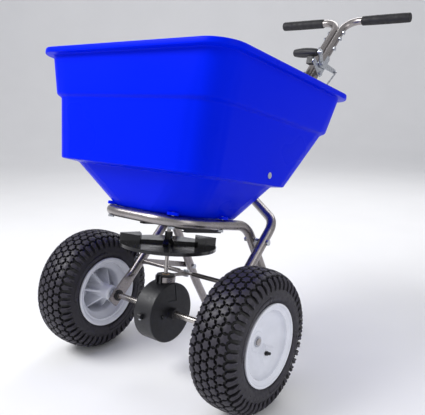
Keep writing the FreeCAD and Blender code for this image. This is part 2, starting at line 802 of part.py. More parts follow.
def hopper_bolt_places():
    """Bolts through the hoop: one in each front corner and one on each side."""
    turn = math.radians(corner_bolt_deg)
    corner_x = hoop_half_width - hoop_corner_radius * (1 - math.sin(turn))
    corner_y = hoop_corner_radius * (1 - math.cos(turn)) - hoop_front
    places = []
    for side in (-1, 1):
        places.append((side * corner_x, corner_y))
        places.append((side * hoop_half_width, side_bolt_y))
    return places


neck_floor_z = outlet_neck[3]
guide_bottom = neck_floor_z - guide_thickness
slide_top = guide_bottom - slide_gap
slide_bottom = slide_top - slide_thickness
guide_half_width = outlet_neck[0] + guide_margin
guide_front = outlet_neck[1] + guide_margin
guide_rear = outlet_neck[2] + guide_margin


def add_hopper(nodes):
    body = hopper_shape()
    boss_radius = bolt_head_radius + 2
    seats = [Part.makeCylinder(boss_radius, 14, V(x, y, hoop_height + tube_radius - 1)) for x,
             y in hopper_bolt_places()]
    hoop_solid = pipe(hoop_path(), tube_radius)
    outer = tier(*hopper_steps()[1], *hopper_steps()[2])
    pads = [seat.cut(hoop_solid).cut(outer) for seat in seats]
    body = fuse_all([body] + [pad.Solids[0] for pad in pads if pad.Solids])
    cuts = ports()
    cuts.append(shaft_hole(shaft_port_radius, 200, 250))
    cuts += [Part.makeCylinder(bolt_radius, 8 + tube_radius, V(x, y, hoop_height)) for x,
             y in hopper_bolt_places()]
    cuts += side_screw_holes()
    cuts += guide_screws(bolt_only=True)
    nodes["hopper"] = body.cut(Part.makeCompound(cuts))
    nodes["hopper_bolts"] = Part.makeCompound([hoop_bolt(x, y) for x, y in hopper_bolt_places()])
    nodes["hopper_side_screws"] = Part.makeCompound(side_screws())


def hoop_bolt(x, y):
    low = hoop_height - tube_radius
    head = Part.makeCylinder(bolt_head_radius, bolt_head_height, V(x, y, low - bolt_head_height))
    return fuse_all([head, Part.makeCylinder(bolt_radius, tube_radius * 2 + 9, V(x, y, low - 1))])


def side_wall_x(z):
    """Outer half width of the middle tier at height z."""
    share = (z - middle_foot[3]) / (middle_top[3] - middle_foot[3])
    return middle_foot[0] + share * (middle_top[0] - middle_foot[0])


def side_screws():
    x = side_wall_x(side_screw_z)
    head = cylinder_x(bolt_head_radius, x - 0.4, x + 3, side_screw_y, side_screw_z)
    shank = cylinder_x(bolt_radius, x - 16, x + 1, side_screw_y, side_screw_z)
    nut = hexagon_x(bolt_head_radius, x - hopper_wall - 6, x - hopper_wall - 0.6, side_screw_y,
                    side_screw_z)
    screw = fuse_all([head, shank, nut])
    return [screw, mirrored(screw)]


def side_screw_holes():
    x = side_wall_x(side_screw_z)
    hole = cylinder_x(bolt_radius, x - 20, x + 10, side_screw_y, side_screw_z)
    recess = cylinder_x(bolt_head_radius, x - 0.4, x + 10, side_screw_y, side_screw_z)
    return [hole, recess, mirrored(hole), mirrored(recess)]


def shaft_hole(radius, low, high):
    return rod_between(shaft_point(low), shaft_point(high), radius)


def guide_screw_places():
    half, front, rear, _ = outlet_neck
    inset = hopper_wall + 8
    return [(x, y) for x in (inset - half, half - inset) for y in (inset - front, rear - inset)]


def guide_screws(bolt_only=False):
    screws = []
    for x, y in guide_screw_places():
        shank = Part.makeCylinder(screw_radius, guide_thickness + hopper_floor - 1,
                                  V(x, y, guide_bottom + 1))
        if bolt_only:
            screws.append(shank)
            continue
        head = Part.makeCylinder(screw_radius * 2, 2.5, V(x, y, neck_floor_z + hopper_floor))
        screws.append(fuse_all([head, shank]))
    return screws


# ---- shutter --------------------------------------------------------------------------------------
def add_shutter(nodes):
    plate = box(-guide_half_width, guide_half_width, -guide_front, guide_rear, guide_bottom, neck_floor_z)
    rails = []
    for side in (-1, 1):
        edge = side * guide_half_width
        inner = edge - side * rail_width
        lip = inner - side * rail_lip
        low = guide_bottom - rail_height
        rails.append(box(min(edge, inner), max(edge, inner), -guide_front, guide_rear, low, guide_bottom))
        rails.append(box(min(edge, lip), max(edge, lip), -guide_front, guide_rear, low,
                         low + rail_lip_thickness))
    body = fuse_all([plate] + rails)
    cuts = ports() + [shaft_hole(guide_bush_radius, 200, 250)] + guide_screws(bolt_only=True)
    nodes["shutter_guide"] = body.cut(Part.makeCompound(cuts))
    nodes["guide_screws"] = Part.makeCompound(guide_screws())
    bush = shaft_hole(guide_bush_radius, shaft_reach(guide_bottom + 0.8), shaft_reach(neck_floor_z + 5))
    nodes["shaft_top_bush"] = bush.cut(shaft_hole(shaft_radius + running_clearance, 190, 260))
    nodes["shutter_slide"] = shutter_slide()


def shaft_reach(z):
    """Distance along the shaft at which it passes height z."""
    return z / math.cos(math.radians(shaft_lean_deg))


def shutter_slide():
    """Plate with two ports, a slot for the shaft and an upright ear for the control rod."""
    half = guide_half_width - rail_width - slide_gap
    plate = box(-half, half, -guide_front + 6, guide_rear - 2, slide_bottom, slide_top)
    ear_y, ear_z = rod_lower_end
    tail = box(lever_x - slide_tail / 2, lever_x + slide_tail / 2, guide_rear - 10, ear_y + ear_half,
               slide_bottom, slide_top)
    ear = box(lever_x - lever_thickness / 2, lever_x + lever_thickness / 2, ear_y - ear_half,
              ear_y + ear_half,
              slide_bottom, ear_z + ear_cover)
    body = fuse_all([plate, tail, ear])
    slot = rod_slot(ear_y, ear_z)
    centre = shaft_y(slide_top)
    reach = shaft_radius + shaft_slot_gap
    channel = box(-reach, reach, centre - reach, centre + shutter_travel + reach, 190, 240)
    return body.cut(Part.makeCompound(ports(y_shift=shutter_travel) + [channel, slot]))


def rod_slot(y, z):
    radius = rod_radius + rod_eye_gap
    x0 = lever_x - 10
    ends = [cylinder_x(radius, x0, x0 + 20, y + shift, z) for shift in (-rod_slot_reach, rod_slot_reach)]
    middle = box(x0, x0 + 20, y - rod_slot_reach, y + rod_slot_reach, z - radius, z + radius)
    return fuse_all(ends + [middle])


# ---- spinner --------------------------------------------------------------------------------------
def add_spinner(nodes):
    nodes["spinner_disc"] = leaned_with_shaft(spinner_disc())
    shaft = Part.makeCylinder(shaft_radius, shaft_top - shaft_foot, V(0, 0, shaft_foot))
    hub_pin = rod_between(V(-spinner_hub_radius - 2, 0, hub_pin_z), V(spinner_hub_radius + 2, 0, hub_pin_z),
                          hub_pin_radius)
    pinion_pin = rod_between(V(-9, 0, pinion_pin_z), V(9, 0, pinion_pin_z), hub_pin_radius)
    crosspiece = agitator()
    shaft = shaft.cut(Part.makeCompound([hub_pin, pinion_pin, crosspiece]))
    nodes["spinner_shaft"] = leaned_with_shaft(shaft)
    nodes["spinner_pin"] = leaned_with_shaft(hub_pin)
    nodes["agitator"] = leaned_with_shaft(crosspiece)
    nodes["pinion_pin"] = leaned_with_shaft(pinion_pin)
    nodes["drive_pinion"] = leaned_with_shaft(pinion().cut(pinion_pin))


def agitator():
    """Bent wire through the shaft, both arms turned up at the ends."""
    z = shaft_top - 12
    path = rounded_path([V(-agitator_reach, 0, z + agitator_rise), V(-agitator_reach * 0.55, 0, z),
                         V(agitator_reach * 0.55, 0, z), V(agitator_reach, 0, z + agitator_rise)], [12.0,
                                                                                                    12.0])
    return pipe(path, agitator_radius)


def spinner_disc():
    """Skirted disc with a hub, two tall wedge paddles and two low vanes between them."""
    top = spinner_top
    disc = Part.makeCylinder(spinner_radius, spinner_skirt, V(0, 0, top - spinner_skirt))
    under = Part.makeCylinder(spinner_radius - spinner_thickness, spinner_skirt,
                              V(0, 0, top - spinner_skirt - spinner_thickness))
    hub = Part.makeCylinder(spinner_hub_radius, spinner_hub_height + spinner_skirt + 8,
                            V(0, 0, top - spinner_skirt - 8))
    hub_foot = Part.makeCone(spinner_hub_radius + 9, spinner_hub_radius, 12, V(0, 0, top))
    parts = [disc.cut(under), hub, hub_foot]
    parts += [turned(paddle(), angle) for angle in paddle_angles_deg]
    parts += [turned(low_vane(), angle) for angle in low_vane_angles_deg]
    bore = Part.makeCylinder(shaft_radius, 100, V(0, 0, top - 50))
    pin = rod_between(V(-spinner_hub_radius - 2, 0, hub_pin_z), V(spinner_hub_radius + 2, 0, hub_pin_z),
                      hub_pin_radius)
    return fuse_all(parts).cut(bore).cut(pin)


def turned(shape, angle):
    shape.rotate(V(0, 0, 0), V(0, 0, 1), angle)
    return shape


def paddle():
    """A tall wedge at the edge of the disc, pointed outwards, and its low web in to the hub."""
    spread = math.radians(paddle_half_angle_deg)
    inner = paddle_inner_radius
    tip = spinner_radius - 1
    corners = [V(tip, -2, 0), V(tip, 2, 0), V(inner * math.cos(spread), inner * math.sin(spread), 0),
               V(inner * 0.86, 0, 0), V(inner * math.cos(spread), -inner * math.sin(spread), 0)]
    block = Part.Face(Part.makePolygon(corners + corners[:1])).extrude(V(0, 0, paddle_top + 1))
    block.translate(V(0, 0, spinner_top - 1))
    web = box(spinner_hub_radius - 2, inner * 0.9, -vane_thickness / 2, vane_thickness / 2, spinner_top - 1,
              spinner_top + low_vane_height)
    return fuse_all([block, web])


def low_vane():
    return box(spinner_hub_radius - 2, spinner_radius - 4, -vane_thickness / 2, vane_thickness / 2,
               spinner_top - 1,
               spinner_top + low_vane_height)


# ---- bevel gears ----------------------------------------------------------------------------------
gear_pitch_radius = gear_teeth * gear_module / 2
pinion_pitch_radius = pinion_teeth * gear_module / 2
cone_distance = math.hypot(gear_pitch_radius, pinion_pitch_radius)


def bevel_teeth(teeth, pitch_radius, apex_height, phase_deg):
    """Straight bevel teeth about +Z with the cone apex at the origin and the pitch circle at +Z."""
    flank = math.tan(math.radians(tooth_flank_deg))
    generator = V(pitch_radius, 0, apex_height).normalize()
    normal = V(generator.z, 0, -generator.x)
    tip_half = tooth_thickness / 2 - tooth_addendum * flank
    root_half = tooth_thickness / 2 + tooth_dedendum * flank
    pitch_point = generator * cone_distance
    quad = [pitch_point + normal * tooth_addendum + V(0, tip_half, 0),
            pitch_point + normal * tooth_addendum - V(0, tip_half, 0),
            pitch_point - normal * tooth_dedendum - V(0, root_half, 0),
            pitch_point - normal * tooth_dedendum + V(0, root_half, 0)]
    outer = Part.makePolygon(quad + quad[:1])
    inner = Part.makePolygon([p * gear_face_share for p in quad + quad[:1]])
    tooth = Part.makeLoft([outer, inner], True, True)
    copies = []
    for k in range(teeth):
        copy = tooth.copy()
        copy.rotate(V(0, 0, 0), V(0, 0, 1), phase_deg + k * 360 / teeth)
        copies.append(copy)
    return copies


def bevel_gear(teeth, pitch_radius, apex_height, phase_deg, back, hub_radius_in, hub_back):
    """Gear blank under the roots of its teeth, with a hub behind it."""
    generator = V(pitch_radius, 0, apex_height).normalize()
    normal = V(generator.z, 0, -generator.x)
    root = generator * cone_distance - normal * (tooth_dedendum - 0.5)
    inner_root = root * gear_face_share
    profile = [V(0, 0, inner_root.z), inner_root, root, V(root.x, 0, apex_height + back),
               V(0, 0, apex_height + back)]
    blank = Part.Face(Part.makePolygon(profile + profile[:1])).revolve(V(0, 0, 0), V(0, 0, 1), 360)
    hub = Part.makeCylinder(hub_radius_in, hub_back, V(0, 0, apex_height + back - 1))
    return blank.multiFuse(bevel_teeth(teeth, pitch_radius, apex_height, phase_deg) + [hub])


def pinion():
    """Small gear on the spinner shaft, its hub above the teeth."""
    gap_at_contact = 180 + 180 / pinion_teeth
    hub_length = pinion_hub_top - gear_pitch_radius - pinion_back + 1
    gear = bevel_gear(pinion_teeth, pinion_pitch_radius, gear_pitch_radius, gap_at_contact, pinion_back,
                      pinion_hub_radius, hub_length)
    return gear.cut(Part.makeCylinder(shaft_radius, 100))


def axle_gear():
    """Large gear on the axle: teeth face +X, hub on the same side, one tooth square under the pinion."""
    gear = bevel_gear(gear_teeth, gear_pitch_radius, pinion_pitch_radius, 0, gear_back, gear_hub_radius,
                      1.5)
    hub = Part.makeCylinder(gear_hub_radius, gear_hub_reach + pinion_pitch_radius, V(0, 0, -gear_hub_reach))
    bore = Part.makeCylinder(axle_radius, 100, V(0, 0, -50))
    gear = gear.fuse(hub).cut(bore)
    gear.rotate(V(0, 0, 0), V(0, 1, 0), -90)
    return gear


def add_gears(nodes):
    pin = rod_between(V(gear_pin_x, 0, -gear_hub_radius), V(gear_pin_x, 0, gear_hub_radius), hub_pin_radius)
    nodes["axle_gear"] = leaned_with_shaft(axle_gear().cut(pin))
    pin = leaned_with_shaft(pin)
    nodes["gear_pin"] = pin
    nodes["axle"] = nodes["axle"].cut(pin)


# ---- gearbox casing -------------------------------------------------------------------------------
def casing_body():
    """Round two-part casing with axle bosses, a split collar, ears for the screws and small gussets."""
    half = casing_half_width
    drum = filleted(cylinder_x(casing_radius, -half, half), 3.0, 
                    lambda edge: edge.Length > math.pi * casing_radius)
    bosses = cylinder_x(axle_boss_radius, -axle_boss_end, axle_boss_end)
    collar_root = casing_radius - collar_sink
    collar = Part.makeCylinder(collar_radius, collar_top - collar_root, V(0, 0, collar_root))
    ears = [cylinder_x(ear_radius, x - ear_half_width, x + ear_half_width, y) for x, y in ear_places()]
    band = box(-cut_reach, cut_reach, -cut_reach, cut_reach, -ear_half_height, ear_half_height)
    ears = [ear.common(band) for ear in ears]
    lug_end = -collar_radius - collar_lug_reach
    lugs = [box(x - collar_lug_half, x + collar_lug_half, lug_end, 0, casing_radius - 2, collar_top - 1)
            for x in (-collar_slot - 4, collar_slot + 4)]
    gussets = [casing_gusset(x) for x in (-half, half)]
    room = cylinder_x(casing_radius - casing_wall, -half + casing_wall, half - casing_wall)
    slot = box(-collar_slot / 2, collar_slot / 2, lug_end - 3, -shaft_bush_radius - 1,
               casing_radius + 2, collar_top + 1)
    body = fuse_all([drum, bosses, collar] + ears + lugs + gussets)
    bores = [cylinder_x(bush_radius, -axle_boss_end - 1, axle_boss_end + 1),
             Part.makeCylinder(shaft_bush_radius, cut_reach, V(0, 0, casing_radius - bore_sink))]
    return body.cut(Part.makeCompound([room] + bores)).cut(slot).cut(casing_recess())


def casing_recess():
    """Shallow bent groove moulded into the casing's right face."""
    low_x = casing_half_width - recess_depth
    places = [V(low_x, y, z) for y, z in recess_line]
    return fuse_all([tapered_bar(start, recess_half_width, end, recess_half_width, recess_depth + 1)
                     for start, end in zip(places, places[1:])])


def ear_places():
    return [(0, -ear_offset), (0, ear_offset)]


def casing_gusset(x):
    """Small triangular stiffener under the seam on one face."""
    side = 1 if x > 0 else -1
    corners = [V(x - side, gusset_y, -1), V(x - side, gusset_y + gusset_size, -1),
               V(x - side, gusset_y + gusset_size / 2, -1 - gusset_size)]
    return Part.Face(Part.makePolygon(corners + corners[:1])).extrude(V(side * 4, 0, 0))


def add_gearbox(nodes):
    body = casing_body()
    screws = [Part.makeCylinder(screw_radius, ear_half_height * 2 - 1,
                                V(x, y * ear_screw_share, -ear_half_height)) for x, y in ear_places()]
    body = body.cut(Part.makeCompound(screws))
    upper = body.common(box(-cut_reach, cut_reach, -cut_reach, cut_reach, 0, cut_reach))
    lower = body.common(box(-cut_reach, cut_reach, -cut_reach, cut_reach, -cut_reach, 0))
    nodes["gearbox_upper_shell"] = leaned_with_shaft(upper)
    nodes["gearbox_lower_shell"] = leaned_with_shaft(lower)
    heads = [fuse_all([screw, Part.makeCylinder(screw_radius * 2, 3,
                                                V(screw.BoundBox.Center.x, screw.BoundBox.Center.y,
                                                  -ear_half_height - 3))]) for screw in screws]
    nodes["gearbox_screws"] = leaned_with_shaft(Part.makeCompound(heads))
    inner = casing_half_width - casing_wall + 0.5
    bush = ring(inner, axle_boss_end, bush_radius, axle_radius + running_clearance)
    nodes["gearbox_axle_bushes"] = Part.makeCompound([bush, mirrored(bush)])
    length = collar_top - casing_radius + casing_wall
    shaft_bush = Part.makeCylinder(shaft_bush_radius, length, V(0, 0, collar_top - length))
    shaft_bore = Part.makeCylinder(shaft_radius + running_clearance, cut_reach)
    nodes["gearbox_shaft_bush"] = leaned_with_shaft(shaft_bush.cut(shaft_bore))
    add_gearbox_strap(nodes)


def add_gearbox_strap(nodes):
    """Band round the collar with a tail that is bolted under the cross rod."""
    band_low = casing_radius + 1
    band = Part.makeCylinder(collar_radius + strap_thickness, strap_band_height, V(0, 0, band_low))
    band = leaned_with_shaft(band.cut(Part.makeCylinder(collar_radius, cut_reach)))
    gap = leaned_with_shaft(box(-band_gap, band_gap, -cut_reach, 0, 0, cut_reach))
    top = cross_rod_place.z - flat_end_thickness / 2
    tail = box(-strap_width / 2, strap_width / 2, 0, cross_rod_place.y + strap_width / 2,
               top - strap_thickness, top)
    tail = tail.cut(leaned_with_shaft(Part.makeCylinder(collar_radius, cut_reach)))
    band = band.cut(gap)
    hole = Part.makeCylinder(bolt_radius, 4 * strap_thickness,
                             V(0, cross_rod_place.y, top - 2 * strap_thickness))
    nodes["gearbox_strap"] = fuse_all([band, tail]).cut(hole)
    low = top - strap_thickness
    head = Part.makeCylinder(bolt_head_radius, bolt_head_height,
                             V(0, cross_rod_place.y, low - bolt_head_height))
    nut = Part.makeCylinder(bolt_head_radius, bolt_head_height,
                            V(0, cross_rod_place.y, top + flat_end_thickness))
    shank = Part.makeCylinder(bolt_radius, flat_end_thickness + strap_thickness + 2,
                              V(0, cross_rod_place.y, low - 1))
    nodes["strap_bolt"] = fuse_all([head, shank, nut])


# ---- rate lever and control rod -------------------------------------------------------------------
def lever_points():
    low_x = lever_x - lever_thickness / 2
    return [V(low_x, *point) for point in (lever_pivot, lever_knob, lever_arm_end)]


def add_lever(nodes):
    pivot, knob, arm = lever_points()
    near = lever_x - lever_thickness / 2
    far = lever_x + lever_thickness / 2
    plate = fuse_all([tapered_bar(pivot, lever_width / 2, knob, lever_width / 2 - 2, lever_thickness),
                      tapered_bar(pivot, lever_width / 2 - 1, arm, arm_width / 2, lever_thickness)])
    holes = [cylinder_x(bolt_radius + running_clearance, near - 1, far + 1, pivot.y, pivot.z),
             cylinder_x(bolt_radius, near - 1, far + 1, knob.y, knob.z),
             cylinder_x(rod_radius + rod_eye_gap, near - 1, far + 1, arm.y, arm.z)]
    nodes["rate_lever"] = plate.cut(Part.makeCompound(holes))
    knob_right = near - knob_gap
    nodes["lever_knob"] = lever_knob_shape(knob_right, knob)
    stud = [cylinder_x(bolt_radius, knob_right - knob_length * knob_bore_share, far + 1, knob.y, knob.z),
            cylinder_x(bolt_head_radius, far, far + bolt_head_height, knob.y, knob.z),
            cylinder_x(bolt_radius + 2, knob_right, near, knob.y, knob.z)]
    nodes["knob_stud"] = fuse_all(stud)
    add_lever_bracket(nodes, pivot, near, far)
    add_control_rod(nodes)


def lever_knob_shape(right, place):
    """Barrel-shaped hand knob along X, grooved lengthwise."""
    length = knob_length
    profile = [V(right - length, 0, 0), V(right - length, 0, knob_end_radius - 2),
               V(right - length + 3, 0, knob_end_radius + 1)]
    belly = Part.Arc(profile[-1], V(right - length / 2, 0, knob_radius),
                     V(right - 3, 0, knob_end_radius + 1)).toShape()
    tail = [V(right - 3, 0, knob_end_radius + 1), V(right, 0, knob_end_radius - 2), V(right, 0, 0)]
    wire = Part.Wire([Part.makePolygon(profile), belly, Part.makePolygon(tail + profile[:1])])
    knob = Part.Face(wire).revolve(V(0, 0, 0), V(1, 0, 0), 360)
    grooves = []
    orbit = knob_radius + knob_groove_rise
    for k in range(knob_grooves):
        angle = 2 * math.pi * k / knob_grooves
        grooves.append(cylinder_x(knob_groove_radius, right - length + knob_groove_inset,
                                  right - knob_groove_inset,
                                  orbit * math.cos(angle), orbit * math.sin(angle)))
    hole = cylinder_x(bolt_radius, right - length * knob_bore_share, right + 1)
    knob = knob.cut(Part.makeCompound(grooves + [hole]))
    knob.translate(V(0, place.y, place.z))
    return knob


def add_lever_bracket(nodes, pivot, near, far):
    """Plate on the side of the column that carries the pivot bolt and the gauge block."""
    face = column_x + tube_radius
    upper = on_column(column_bolt_heights[0] + bracket_reach)
    lower = on_column(column_bolt_heights[0])
    start = V(face, lower.y, lower.z)
    arms = [(V(face, upper.y, upper.z), bracket_tip_half), (V(face, pivot.y, pivot.z), bracket_pivot_half),
            (V(face, *gauge_centre), bracket_gauge_half)]
    plate = fuse_all([tapered_bar(start, bracket_foot_half, end, half, bracket_thickness)
                      for end, half in arms])
    holes = [bolt_hole_x(face - 1, face + bracket_thickness + 1, p.y, p.z) for p in (start, pivot)]
    holes.append(cylinder_x(screw_radius, face - 1, face + bracket_thickness + 1, *gauge_centre))
    nodes["lever_bracket"] = plate.cut(Part.makeCompound(holes))
    width, depth, height = gauge_size
    y, z = gauge_centre
    block = filleted(box(face - width, face, y - depth / 2, y + depth / 2, z - height / 2, z + height / 2),
                     2.0,
                     lambda edge: edge.BoundBox.XLength > width - 1)
    nodes["gauge_block"] = block.cut(cylinder_x(screw_radius, face - width + 4, face + 1, y, z))
    nodes["gauge_screw"] = fuse_all([cylinder_x(screw_radius, face - width + 4,
                                                face + bracket_thickness + 1, y, z),
                                     cylinder_x(screw_radius * 2, face + bracket_thickness,
                                                face + bracket_thickness + 2, y, z)])
    washer = near - face - bracket_thickness - lever_play
    pivot_bolt = [cylinder_x(bolt_radius, face - bolt_head_height - 1, far + lever_play + 1, pivot.y,
                             pivot.z),
                  cylinder_x(bolt_head_radius, far + lever_play, far + lever_play + bolt_head_height,
                             pivot.y, pivot.z),
                  cylinder_x(bolt_head_radius, face + bracket_thickness, face + bracket_thickness + washer,
                             pivot.y, pivot.z),
                  hexagon_x(bolt_head_radius, face - bolt_head_height, face, pivot.y, pivot.z)]
    nodes["lever_pivot_bolt"] = fuse_all(pivot_bolt)


def add_control_rod(nodes):
    """Straight wire beside the column with both ends bent square into their holes."""
    top = V(rod_x, *lever_arm_end)
    low = V(rod_x, *rod_lower_end)
    hook = V(lever_x - lever_thickness / 2 - 4, 0, 0) - V(rod_x, 0, 0)
    path = rounded_path([low + hook, low, top, top + hook], [rod_radius + 0.6] * 2)
    nodes["control_rod"] = pipe(path, rod_radius)


# ---- everything -----------------------------------------------------------------------------------
def build():
    nodes = {}
    add_wheels(nodes)
    add_axle(nodes)
    add_frame(nodes)
    add_hopper(nodes)
    add_shutter(nodes)
    add_spinner(nodes)
    add_gears(nodes)
    add_gearbox(nodes)
    add_lever(nodes)
    return {name: stand_up(shape) for name, shape in nodes.items()}


def main():
    os.makedirs("parts", exist_ok=True)
    for name, shape in build().items():
        shape.exportStep(os.path.join("parts", name + ".step"))
        print(f"{name}: {len(shape.Solids)} solid(s), valid {shape.isValid()}, {shape.Volume / 1000:.1f} cm3")


if __name__ == "__main__":
    main()
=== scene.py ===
# %% [markdown]
# # A push spreader, dressed for its portrait
#
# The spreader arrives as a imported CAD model: a tapered hopper on a frame of bent stainless tube, two
# block-tread tyres, and a spinner that a gearbox on the axle turns. This notebook keeps the sizes of
# that model and gives each piece the surface that the real one has.
#
# A cell that starts with `[markdown]` says what a piece is on the real spreader and why it is made
# the way that it is. The short cell after it makes the piece and prints what was made.

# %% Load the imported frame
import math

import bmesh
import bpy
import numpy as np
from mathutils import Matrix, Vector


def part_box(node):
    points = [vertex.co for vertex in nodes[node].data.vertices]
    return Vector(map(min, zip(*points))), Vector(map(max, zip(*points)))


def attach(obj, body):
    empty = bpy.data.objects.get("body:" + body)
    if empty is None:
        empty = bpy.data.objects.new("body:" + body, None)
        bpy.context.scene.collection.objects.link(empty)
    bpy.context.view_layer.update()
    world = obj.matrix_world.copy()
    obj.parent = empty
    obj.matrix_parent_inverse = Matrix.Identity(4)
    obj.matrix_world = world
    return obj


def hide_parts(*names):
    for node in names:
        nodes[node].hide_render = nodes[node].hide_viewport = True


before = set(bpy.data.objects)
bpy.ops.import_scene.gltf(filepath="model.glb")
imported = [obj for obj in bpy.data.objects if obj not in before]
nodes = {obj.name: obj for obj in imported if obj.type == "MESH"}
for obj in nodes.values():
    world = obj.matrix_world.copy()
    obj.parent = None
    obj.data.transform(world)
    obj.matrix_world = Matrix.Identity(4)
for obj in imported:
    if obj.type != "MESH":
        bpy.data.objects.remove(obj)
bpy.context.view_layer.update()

# %% [markdown]
# ## Two ways to give a place
#
# The spreader rests on its stand, so everything above the axle leans back by 12.6 degrees. It is
# much easier to describe a hopper or a handle on a level spreader, so the sizes below are level
# millimetres: X along the axle, Y towards the person who pushes, Z up, and the axle line at zero.
# `stood` leans such points back and turns them into metres on the floor. Its two numbers come from
# the axle's own box, so they can never drift from the CAD model.

# %% From the level spreader to the floor
LEAN = math.radians(12.6)
axle_low, axle_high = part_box("axle")
axle_y = float(axle_low.y + axle_high.y) / 2
axle_z = float(axle_low.z + axle_high.z) / 2


def stood(points):
    """Turn level millimetres by the lean about the axle line, then shift to the axle's place."""
    p = np.asarray(points, float) / 1000
    y = p[..., 1] * math.cos(LEAN) + p[..., 2] * math.sin(LEAN) + axle_y
    z = p[..., 2] * math.cos(LEAN) - p[..., 1] * math.sin(LEAN) + axle_z
    return np.stack([p[..., 0], y, z], -1)


print("axle line at y %.4f z %.4f" % (axle_y, axle_z))

# %% [markdown]
# ## Meshes from arrays
#
# Every new piece is a grid of points: one direction of the grid runs along a profile, the other
# carries the profile round an axle or along a tube. The faces of such a grid are always the same
# pattern of four neighbours, so one function makes them all, and a piece is a list of grids put
# into one mesh. Shading is smooth, apart from edges that turn by more than a set angle.

# %% Grids and pieces
SMOOTH_ANGLE = math.radians(38)


def grid_faces(rows, columns, rows_close=False, columns_close=False):
    """Quads of a grid: each face joins a point, its right neighbour, and the two above them."""
    down = np.arange(rows if rows_close else rows - 1)
    along = np.arange(columns if columns_close else columns - 1)
    a, b = np.meshgrid(down, along, indexing="ij")
    a2, b2 = (a + 1) % rows, (b + 1) % columns
    corners = [a * columns + b, a * columns + b2, a2 * columns + b2, a2 * columns + b]
    return np.stack(corners, -1).reshape(-1, 4)


def patch(points, rows_close=False, columns_close=False, flip=False):
    """A grid of level points as (points on the floor frame, faces), turned over when flip is set."""
    rows, columns = points.shape[:2]
    faces = grid_faces(rows, columns, rows_close, columns_close)
    return stood(points.reshape(-1, 3)), faces[:, ::-1] if flip else faces


def put(name, patches, finish, body, *stands_for, slot=None, merge=0.0, angle=SMOOTH_ANGLE, painted_shade=None):
    """Join patches into one mesh object, give it its finish, and let it ride on a CAD body.

    The optional per-point values are painted shade, one number a point, kept as a point attribute for the
    finish to read.
    """
    offsets = np.cumsum([0] + [len(points) for points, _ in patches[:-1]])
    points = np.concatenate([points for points, _ in patches])
    faces = [face for (_, group), shift in zip(patches, offsets) for face in (group + shift).tolist()]
    mesh = bpy.data.meshes.new(name)
    mesh.from_pydata(points.tolist(), [], faces)
    mesh.validate()
    piece = bpy.data.objects.new(name, mesh)
    bpy.context.scene.collection.objects.link(piece)
    if painted_shade is not None:
        mesh.attributes.new("painted_shade", "FLOAT", "POINT").data.foreach_set("value", np.asarray(painted_shade, np.float32))
    if merge:
        weld(mesh, merge)
    mesh.shade_smooth()
    mesh.set_sharp_from_angle(angle=angle)
    mesh.materials.append(finish)
    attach(piece, body)
    if stands_for:
        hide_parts(*stands_for)
    print("%-22s %6d faces on %s" % (name, len(mesh.polygons), body))
    return piece


def weld(mesh, distance):
    """Merge doubled points, drop faces that close up, and point every face outwards."""
    work = bmesh.new()
    work.from_mesh(mesh)
    bmesh.ops.remove_doubles(work, verts=work.verts, dist=distance)
    bmesh.ops.dissolve_degenerate(work, dist=distance / 4, edges=work.edges)
    bmesh.ops.recalc_face_normals(work, faces=work.faces)
    work.to_mesh(mesh)
    work.free()


def smooth_step(x, low, high):
    """0 below low, 1 above high, and the curve 3t^2 - 2t^3 in between."""
    t = np.clip((x - low) / (high - low), 0, 1)
    return t * t * (3 - 2 * t)


def rounded_line(points, reach, steps=5):
    """A polyline in any number of dimensions whose corners are quadratic curves `reach` long.

    Each inner corner P becomes (1-t)^2 A + 2t(1-t) P + t^2 B, where A and B lie on its two runs.
    """
    points = np.asarray(points, float)
    reach = np.broadcast_to(reach, len(points))
    t = np.linspace(0, 1, steps)[:, None]
    out = [points[:1]]
    for before, corner, after, r in zip(points, points[1:], points[2:], reach[1:]):
        into, out_of = before - corner, after - corner
        a = corner + into * min(0.45, r / np.linalg.norm(into))
        b = corner + out_of * min(0.45, r / np.linalg.norm(out_of))
        out.append((1 - t) ** 2 * a + 2 * t * (1 - t) * corner + t ** 2 * b)
    out.append(points[-1:])
    return np.concatenate(out)


def turned(profile, segments, x_sign=1.0, centre=(0.0, 0.0)):
    """Carry an (x, radius) profile round a line along X: y = r sin a, z = r cos a."""
    a = np.arange(segments) * 2 * np.pi / segments
    x = np.repeat(profile[:, :1], segments, 1) * x_sign
    y = profile[:, 1:] * np.sin(a) + centre[0]
    z = profile[:, 1:] * np.cos(a) + centre[1]
    return np.stack([x, y, z], -1)


print("helpers ready")

# %% [markdown]
# ## Finishes
#
# A finish is a node material: a base colour that drifts a little, a roughness that drifts with it,
# and a bump at the size of the real grain. All patterns read Object coordinates, which are metres
# here, so a scale of 1000 is one millimetre. A small recipe function keeps the many finishes
# short, and each finish then says only what is special about it.

# %% A recipe for finishes


